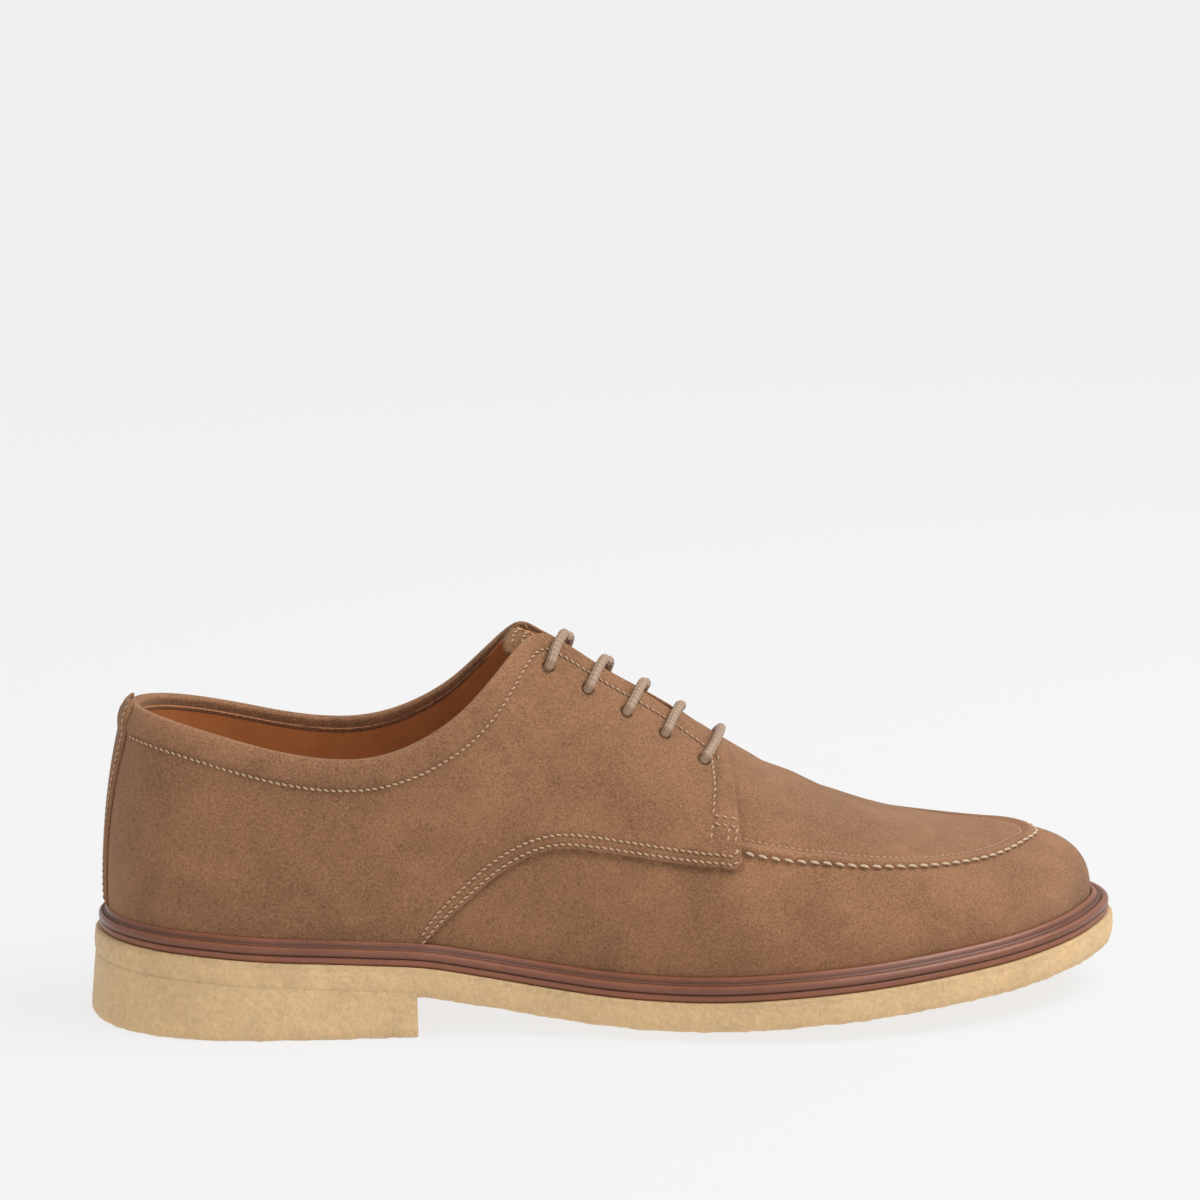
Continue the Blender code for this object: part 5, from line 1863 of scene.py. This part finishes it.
def noise_value(tree, place, size, detail, roughness=0.55, distortion=0.0):
    """Noise whose features are about `size` metres across."""
    made = node(tree, "ShaderNodeTexNoise")
    join(tree, place, made.inputs["Vector"])
    if isinstance(size, bpy.types.NodeSocket):
        tree.links.new(size, made.inputs["Scale"])
    else:
        made.inputs["Scale"].default_value = 1 / size
    made.inputs["Detail"].default_value = detail
    made.inputs["Roughness"].default_value = roughness
    made.inputs["Distortion"].default_value = distortion
    return made.outputs["Fac"]


def group_tree(name, inputs, outputs):
    """Empty shader group with named sockets, its input node and its output node."""
    tree = bpy.data.node_groups.new(name, "ShaderNodeTree")
    for label, kind, value in inputs:
        socket = tree.interface.new_socket(name=label, in_out="INPUT", socket_type=kind)
        if value is not None:
            socket.default_value = value
    for label, kind in outputs:
        tree.interface.new_socket(name=label, in_out="OUTPUT", socket_type=kind)
    return tree, tree.nodes.new("NodeGroupInput"), tree.nodes.new("NodeGroupOutput")


def nap_group():
    """Napped leather: brushed patches and short fibres, times the painted shade and highlight that the
    mesh carries in its shade attribute.
    """
    if "Nap" in bpy.data.node_groups:
        return bpy.data.node_groups["Nap"]
    inputs = (
        ("Colour", "NodeSocketColor", (0.3, 0.2, 0.1, 1.0)),
        ("Patch Strength", "NodeSocketFloat", 0.2),
        ("Fibre Strength", "NodeSocketFloat", 0.2),
    )
    outputs = (("Colour", "NodeSocketColor"), ("Height", "NodeSocketFloat"))
    tree, start, end = group_tree("Nap", inputs, outputs)
    place = tree.nodes.new("ShaderNodeTexCoord").outputs["Object"]
    patches = noise_value(tree, place, 26 * MM, 3.0, 0.55, 0.6)
    brushed = noise_value(tree, place, 7 * MM, 4.0, 0.6, 1.2)
    fibre = noise_value(tree, place, 0.60 * MM, 5.0, 0.72)
    fine = noise_value(tree, place, 0.28 * MM, 2.0, 0.6)
    shade = tree.nodes.new("ShaderNodeAttribute")
    shade.attribute_name = "shade"
    broad = ranged(tree, patches, 0.3, 0.7, -0.7, 0.7)
    soft = sums(tree, "ADD", broad, ranged(tree, brushed, 0.3, 0.7, -0.2, 0.2))
    patch = sums(tree, "MULTIPLY", soft, start.outputs["Patch Strength"])
    speck = ranged(tree, fibre, 0.25, 0.75, -1.0, 1.0)
    speck = sums(tree, "MULTIPLY", speck, start.outputs["Fibre Strength"])
    total = sums(tree, "ADD", sums(tree, "ADD", patch, speck), 1.0)
    lit = node(tree, "ShaderNodeVectorMath")
    lit.operation = "SCALE"
    tree.links.new(start.outputs["Colour"], lit.inputs[0])
    tree.links.new(total, lit.inputs["Scale"])
    # Multiplied by the shade attribute: painted shade and highlight on the mesh.
    colour = mixed(tree, "MULTIPLY", 1.0, lit.outputs[0], shade.outputs["Color"])
    height = sums(tree, "ADD", fibre, sums(tree, "MULTIPLY", fine, 0.5))
    height = sums(tree, "ADD", height, sums(tree, "MULTIPLY", brushed, 1.2))
    tree.links.new(colour, end.inputs["Colour"])
    tree.links.new(height, end.inputs["Height"])
    return tree


def grain_group():
    """Smooth leather: pores and long soft streaks, times the painted shade and highlight that the mesh
    carries in its shade attribute.
    """
    if "Leather Grain" in bpy.data.node_groups:
        return bpy.data.node_groups["Leather Grain"]
    inputs = (
        ("Colour", "NodeSocketColor", (0.3, 0.2, 0.1, 1.0)),
        ("Streak Strength", "NodeSocketFloat", 0.15),
    )
    outputs = (("Colour", "NodeSocketColor"), ("Height", "NodeSocketFloat"), ("Wear", "NodeSocketFloat"))
    tree, start, end = group_tree("Leather Grain", inputs, outputs)
    place = tree.nodes.new("ShaderNodeTexCoord").outputs["Object"]
    cells = tree.nodes.new("ShaderNodeTexVoronoi")
    tree.links.new(place, cells.inputs["Vector"])
    cells.inputs["Scale"].default_value = 1 / (0.9 * MM)
    cloud = noise_value(tree, place, 16 * MM, 4.0, 0.6, 0.5)
    streak = noise_value(tree, place, 2.2 * MM, 4.0, 0.65, 0.4)
    shade = tree.nodes.new("ShaderNodeAttribute")
    shade.attribute_name = "shade"
    broad = ranged(tree, cloud, 0.3, 0.7, -0.7, 0.7)
    soft = sums(tree, "ADD", broad, ranged(tree, streak, 0.3, 0.7, -0.4, 0.4))
    total = sums(tree, "ADD", sums(tree, "MULTIPLY", soft, start.outputs["Streak Strength"]), 1.0)
    lit = node(tree, "ShaderNodeVectorMath")
    lit.operation = "SCALE"
    tree.links.new(start.outputs["Colour"], lit.inputs[0])
    tree.links.new(total, lit.inputs["Scale"])
    # Multiplied by the shade attribute: painted shade and highlight on the mesh.
    colour = mixed(tree, "MULTIPLY", 1.0, lit.outputs[0], shade.outputs["Color"])
    height = sums(tree, "ADD", sums(tree, "MULTIPLY", cells.outputs["Distance"], 0.6), streak)
    tree.links.new(colour, end.inputs["Colour"])
    tree.links.new(height, end.inputs["Height"])
    tree.links.new(cloud, end.inputs["Wear"])
    return tree


def placed_group(tree, group, **values):
    """A group placed in a material with its own values."""
    made = tree.nodes.new("ShaderNodeGroup")
    made.node_tree = group
    for name, value in values.items():
        made.inputs[name.replace("_", " ")].default_value = value
    return made


def bare_material(name):
    """Material with its shader and node tree."""
    made = bpy.data.materials.new(name)
    made.use_nodes = True
    shader = made.node_tree.nodes["Principled BSDF"]
    return made, made.node_tree, shader


def bump(tree, height, distance, strength, shader):
    """Bump that feeds the shader's normal."""
    made = tree.nodes.new("ShaderNodeBump")
    made.inputs["Strength"].default_value = strength
    made.inputs["Distance"].default_value = distance
    tree.links.new(height, made.inputs["Height"])
    tree.links.new(made.outputs["Normal"], shader.inputs["Normal"])


def rgba(colour, factor=1.0):
    """Colour with full opacity."""
    return (colour[0] * factor, colour[1] * factor, colour[2] * factor, 1.0)


def suede_material(name="napped_suede", factor=1.0):
    """Brushed suede."""
    made, tree, shader = bare_material(name)
    colour = rgba(looks().suede_colour, factor)
    nap = placed_group(tree, nap_group(), Colour=colour, Patch_Strength=0.24, Fibre_Strength=0.60)
    tree.links.new(nap.outputs["Colour"], shader.inputs["Base Color"])
    shader.inputs["Roughness"].default_value = 0.95
    shader.inputs["Specular IOR Level"].default_value = 0.18
    shader.inputs["Sheen Weight"].default_value = 0.22
    shader.inputs["Sheen Roughness"].default_value = 0.45
    shader.inputs["Sheen Tint"].default_value = (0.95, 0.80, 0.62, 1.0)
    bump(tree, nap.outputs["Height"], 0.34 * MM, 1.0, shader)
    return made


def leather_material(name, colour, roughness, coat, streak, grain_height):
    """Smooth leather with a soft finish."""
    made, tree, shader = bare_material(name)
    grain = placed_group(tree, grain_group(), Colour=rgba(colour), Streak_Strength=streak)
    tree.links.new(grain.outputs["Colour"], shader.inputs["Base Color"])
    worn = ranged(tree, grain.outputs["Wear"], 0.3, 0.7, roughness - 0.07, roughness + 0.09)
    tree.links.new(worn, shader.inputs["Roughness"])
    shader.inputs["Coat Weight"].default_value = coat
    shader.inputs["Coat Roughness"].default_value = 0.35
    bump(tree, grain.outputs["Height"], grain_height, 0.6, shader)
    return made


def crepe_material():
    """Honey coloured crepe rubber, crinkled and a little translucent."""
    made, tree, shader = bare_material("crepe_rubber")
    place = tree.nodes.new("ShaderNodeTexCoord").outputs["Object"]
    crinkle = noise_value(tree, place, 1.5 * MM, 6.0, 0.72, 0.9)
    crumbs = tree.nodes.new("ShaderNodeTexVoronoi")
    tree.links.new(place, crumbs.inputs["Vector"])
    crumbs.inputs["Scale"].default_value = 1 / (1.7 * MM)
    crumbs.inputs["Randomness"].default_value = 1.0
    cloud = noise_value(tree, place, 14 * MM, 3.0, 0.5, 0.4)
    speck = noise_value(tree, place, 0.5 * MM, 4.0, 0.7)
    shade = tree.nodes.new("ShaderNodeAttribute")
    shade.attribute_name = "shade"
    tone = ranged(tree, crinkle, 0.3, 0.7, -0.16, 0.16)
    tone = sums(tree, "ADD", tone, ranged(tree, speck, 0.3, 0.7, -0.10, 0.10))
    tone = sums(tree, "ADD", tone, ranged(tree, cloud, 0.3, 0.7, -0.08, 0.08))
    pale = mixed(tree, "MIX", ranged(tree, tone, -0.25, 0.25, 0.0, 1.0),
                 rgba(looks().crepe_colour, 0.78), rgba(looks().crepe_colour, 1.18))
    # Multiplied by the shade attribute: painted shadow under the welt, and random tone.
    colour = mixed(tree, "MULTIPLY", 1.0, pale, shade.outputs["Color"])
    tree.links.new(colour, shader.inputs["Base Color"])
    tree.links.new(ranged(tree, crinkle, 0.3, 0.7, 0.42, 0.66), shader.inputs["Roughness"])
    shader.inputs["Subsurface Weight"].default_value = 0.22
    shader.inputs["Subsurface Radius"].default_value = (1.0, 0.6, 0.25)
    shader.inputs["Subsurface Scale"].default_value = 3 * MM
    height = sums(tree, "ADD", crinkle, sums(tree, "MULTIPLY", crumbs.outputs["Distance"], 0.7))
    height = sums(tree, "ADD", height, sums(tree, "MULTIPLY", speck, 0.35))
    bump(tree, height, 0.55 * MM, 0.8, shader)
    return made


def thread_material(name, colour):
    """Twisted thread."""
    made, tree, shader = bare_material(name)
    place = tree.nodes.new("ShaderNodeTexCoord").outputs["Object"]
    twist = noise_value(tree, place, 0.35 * MM, 2.0)
    share = ranged(tree, twist, 0.3, 0.7, 0.0, 1.0)
    tone = mixed(tree, "MIX", share, rgba(colour, 0.80), rgba(colour, 1.12))
    tree.links.new(tone, shader.inputs["Base Color"])
    shader.inputs["Roughness"].default_value = 0.7
    bump(tree, twist, 0.1 * MM, 0.5, shader)
    return made


def cord_material():
    """Waxed braid: two families of strands crossing round the cord."""
    made, tree, shader = bare_material("braided_cord")
    lay = tree.nodes.new("ShaderNodeUVMap")
    lay.uv_map = "lay"
    parts = tree.nodes.new("ShaderNodeSeparateXYZ")
    tree.links.new(lay.outputs["UV"], parts.inputs[0])
    along = sums(tree, "MULTIPLY", parts.outputs["X"], 1.9)
    around = sums(tree, "MULTIPLY", parts.outputs["Y"], 8 * math.pi)
    left = sums(tree, "SINE", sums(tree, "ADD", around, along), 0.0)
    right = sums(tree, "SINE", sums(tree, "SUBTRACT", around, along), 0.0)
    braid = sums(tree, "MULTIPLY", left, right)
    place = tree.nodes.new("ShaderNodeTexCoord").outputs["Object"]
    fibre = noise_value(tree, place, 0.3 * MM, 3.0, 0.7)
    tone = ranged(tree, braid, -1.0, 1.0, 0.15, 0.75)
    tone = sums(tree, "ADD", tone, ranged(tree, fibre, 0.3, 0.7, -0.2, 0.2))
    colour = mixed(tree, "MIX", tone, rgba(looks().cord_colour, 0.66), rgba(looks().cord_colour, 1.25))
    tree.links.new(colour, shader.inputs["Base Color"])
    shader.inputs["Roughness"].default_value = 0.55
    shader.inputs["Coat Weight"].default_value = 0.12
    shader.inputs["Coat Roughness"].default_value = 0.4
    bump(tree, sums(tree, "ADD", braid, sums(tree, "MULTIPLY", fibre, 0.4)), 0.22 * MM, 0.7, shader)
    return made


# Operators

class DERBY_OT_upper(bpy.types.Operator):
    """Make the suede vamp and quarters."""

    bl_idname = "derby.upper"
    bl_label = "Upper"

    def execute(self, context):
        suede = suede_material()
        settle(make_vamp(), "suede", suede, "upper")
        settle(make_quarters(), "suede", suede, "upper")
        return {"FINISHED"}


class DERBY_OT_lining(bpy.types.Operator):
    """Make the smooth lining and the insole sock."""

    bl_idname = "derby.lining"
    bl_label = "Lining and insole"

    def execute(self, context):
        colour = looks().lining_colour
        lining = leather_material("smooth_lining", colour, 0.46, 0.05, 0.12, 0.10 * MM)
        darker = [part * 0.9 for part in colour]
        sock = leather_material("sock_leather", darker, 0.50, 0.0, 0.14, 0.12 * MM)
        settle(make_lining(), "lining_leather", lining, "upper")
        settle(make_insole_sock(), "lining_leather", sock, "insole")
        return {"FINISHED"}


class DERBY_OT_trim(bpy.types.Operator):
    """Make the tongue and the backstay."""

    bl_idname = "derby.trim"
    bl_label = "Tongue and backstay"

    def execute(self, context):
        # The tongue's suede is 0.82 times as light: painted shade down in the throat.
        settle(make_tongue(), "suede", suede_material("shaded_tongue_suede", 0.82), "tongue")
        settle(make_backstay(), "suede", suede_material("backstay_suede", 0.98), "backstay")
        return {"FINISHED"}


class DERBY_OT_seams(bpy.types.Operator):
    """Make the machine stitches and the thick apron stitches."""

    bl_idname = "derby.seams"
    bl_label = "Seams"

    def execute(self, context):
        thread = thread_material("seam_thread", looks().thread_colour)
        settle(make_machine_stitches(), "suede", thread)
        settle(make_fine_row(), "suede", thread)
        thick = thread_material("apron_thread", looks().apron_thread_colour)
        settle(make_apron_stitches(), "suede", thick)
        return {"FINISHED"}


class DERBY_OT_lace(bpy.types.Operator):
    """Make the braided lace through the holes."""

    bl_idname = "derby.lace"
    bl_label = "Lace"

    def execute(self, context):
        settle(make_lace(), "lace_cord", cord_material(), "lace")
        return {"FINISHED"}


class DERBY_OT_sole(bpy.types.Operator):
    """Make the welt, the runner and the crepe sole with its heel."""

    bl_idname = "derby.sole"
    bl_label = "Sole"

    def execute(self, context):
        colour = looks().welt_colour
        welt = leather_material("storm_welt", colour, 0.38, 0.22, 0.18, 0.08 * MM)
        lighter = [part * 1.1 for part in colour]
        runner = leather_material("runner_leather", lighter, 0.42, 0.15, 0.2, 0.08 * MM)
        crepe = crepe_material()
        settle(make_welt(), "welt_leather", welt, "welt")
        settle(make_runner(), "welt_leather", runner, "midsole")
        settle(make_crepe_sheet(), "crepe", crepe, "outsole")
        settle(make_crepe_heel(), "crepe", crepe, "heel")
        return {"FINISHED"}


class DERBY_OT_stage(bpy.types.Operator):
    """Make the pale floor, the soft lights and the camera at the photo's angle."""

    bl_idname = "derby.stage"
    bl_label = "Stage"

    def execute(self, context):
        make_floor()
        make_lights()
        make_camera()
        return {"FINISHED"}


def make_floor():
    """Wide pale floor."""
    half = 40.0
    corners = np.array([(-1, -1, 0), (1, -1, 0), (1, 1, 0), (-1, 1, 0)]) * half
    floor = finish_mesh("studio_floor", corners + SHIFT, [(0, 1, 2, 3)])
    made, _, shader = bare_material("studio_paper")
    shader.inputs["Base Color"].default_value = (0.12, 0.12, 0.12, 1.0)
    shader.inputs["Emission Color"].default_value = (1.0, 1.0, 1.0, 1.0)
    shader.inputs["Emission Strength"].default_value = 0.765
    shader.inputs["Roughness"].default_value = 0.9
    shader.inputs["Specular IOR Level"].default_value = 0.1
    floor.data.materials.append(made)


def area_light(name, place, target, size, power):
    """Square soft light aimed at a place."""
    data = bpy.data.lights.new(name, "AREA")
    data.shape = "RECTANGLE"
    data.size = size[0]
    data.size_y = size[1]
    data.energy = power
    made = bpy.data.objects.new(name, data)
    made.location = place
    made.rotation_euler = (Vector(target) - Vector(place)).to_track_quat("-Z", "Y").to_euler()
    bpy.context.scene.collection.objects.link(made)


def make_lights():
    """Soft studio light: broad overhead light, low front fill and a pale surround."""
    world = bpy.data.worlds.new("pale_surround")
    world.use_nodes = True
    background = world.node_tree.nodes["Background"]
    background.inputs["Color"].default_value = (1.0, 0.99, 0.98, 1.0)
    background.inputs["Strength"].default_value = 0.62
    bpy.context.scene.world = world
    aim = (0.0, 0.0, 0.05)
    area_light("overhead", (0.75, -0.15, 1.25), aim, (1.0, 0.9), 15.0)
    area_light("front_fill", (0.9, -1.6, 0.7), aim, (1.2, 0.9), 6.0)
    bpy.context.scene.view_settings.view_transform = "Standard"
    bpy.context.scene.view_settings.look = "None"


def make_camera():
    """Camera at the photo's angle to the shoe."""
    yaw = math.radians(VIEW_YAW)
    rise = math.radians(VIEW_ELEVATION)
    forward = Vector((math.sin(yaw) * math.cos(rise), math.cos(yaw) * math.cos(rise), -math.sin(rise)))
    up = Vector((math.sin(yaw) * math.sin(rise), math.cos(yaw) * math.sin(rise), math.cos(rise)))
    right = forward.cross(up)
    aim = Vector(AIM_SHOE) - Vector(SHIFT)
    data = bpy.data.cameras.new("photo_camera")
    data.sensor_width = SENSOR_WIDTH
    data.lens = FOCAL_SHARE * VIEW_DISTANCE / MM / PICTURE_PIXELS * SENSOR_WIDTH
    data.shift_x = -(AIM_PIXEL[0] - PICTURE_PIXELS / 2) / PICTURE_PIXELS
    data.shift_y = (AIM_PIXEL[1] - PICTURE_PIXELS / 2) / PICTURE_PIXELS
    data.clip_start = 0.05
    data.clip_end = 200.0
    camera = bpy.data.objects.new("photo_camera", data)
    turn = Matrix((right, up, -forward)).transposed().to_4x4()
    camera.matrix_world = Matrix.Translation(aim - forward * VIEW_DISTANCE) @ turn
    bpy.context.scene.collection.objects.link(camera)
    bpy.context.scene.camera = camera


class DERBY_PT_panel(bpy.types.Panel):
    """Lists the makers of the derby shoe's pieces."""

    bl_label = "Derby shoe"
    bl_idname = "DERBY_PT_panel"
    bl_space_type = "VIEW_3D"
    bl_region_type = "UI"
    bl_category = "Derby"

    def draw(self, context):
        """Show the looks and a button for each maker."""
        for name in ShoeLooks.__annotations__:
            self.layout.prop(context.scene.derby_looks, name)
        for operator in OPERATORS:
            self.layout.operator(operator.bl_idname)


OPERATORS = (
    DERBY_OT_stage,
    DERBY_OT_upper,
    DERBY_OT_lining,
    DERBY_OT_trim,
    DERBY_OT_seams,
    DERBY_OT_lace,
    DERBY_OT_sole,
)
CLASSES = (ShoeLooks,) + OPERATORS + (DERBY_PT_panel,)


def register():
    """Register the classes and the looks of the scene."""
    for made in CLASSES:
        bpy.utils.register_class(made)
    bpy.types.Scene.derby_looks = bpy.props.PointerProperty(type=ShoeLooks)


def unregister():
    """Take the classes away again."""
    del bpy.types.Scene.derby_looks
    for made in reversed(CLASSES):
        bpy.utils.unregister_class(made)


def main():
    """Make every piece in order."""
    register()
    bpy.ops.derby.stage()
    bpy.ops.derby.upper()
    bpy.ops.derby.lining()
    bpy.ops.derby.trim()
    bpy.ops.derby.seams()
    bpy.ops.derby.lace()
    bpy.ops.derby.sole()


if __name__ == "__main__":
    main()
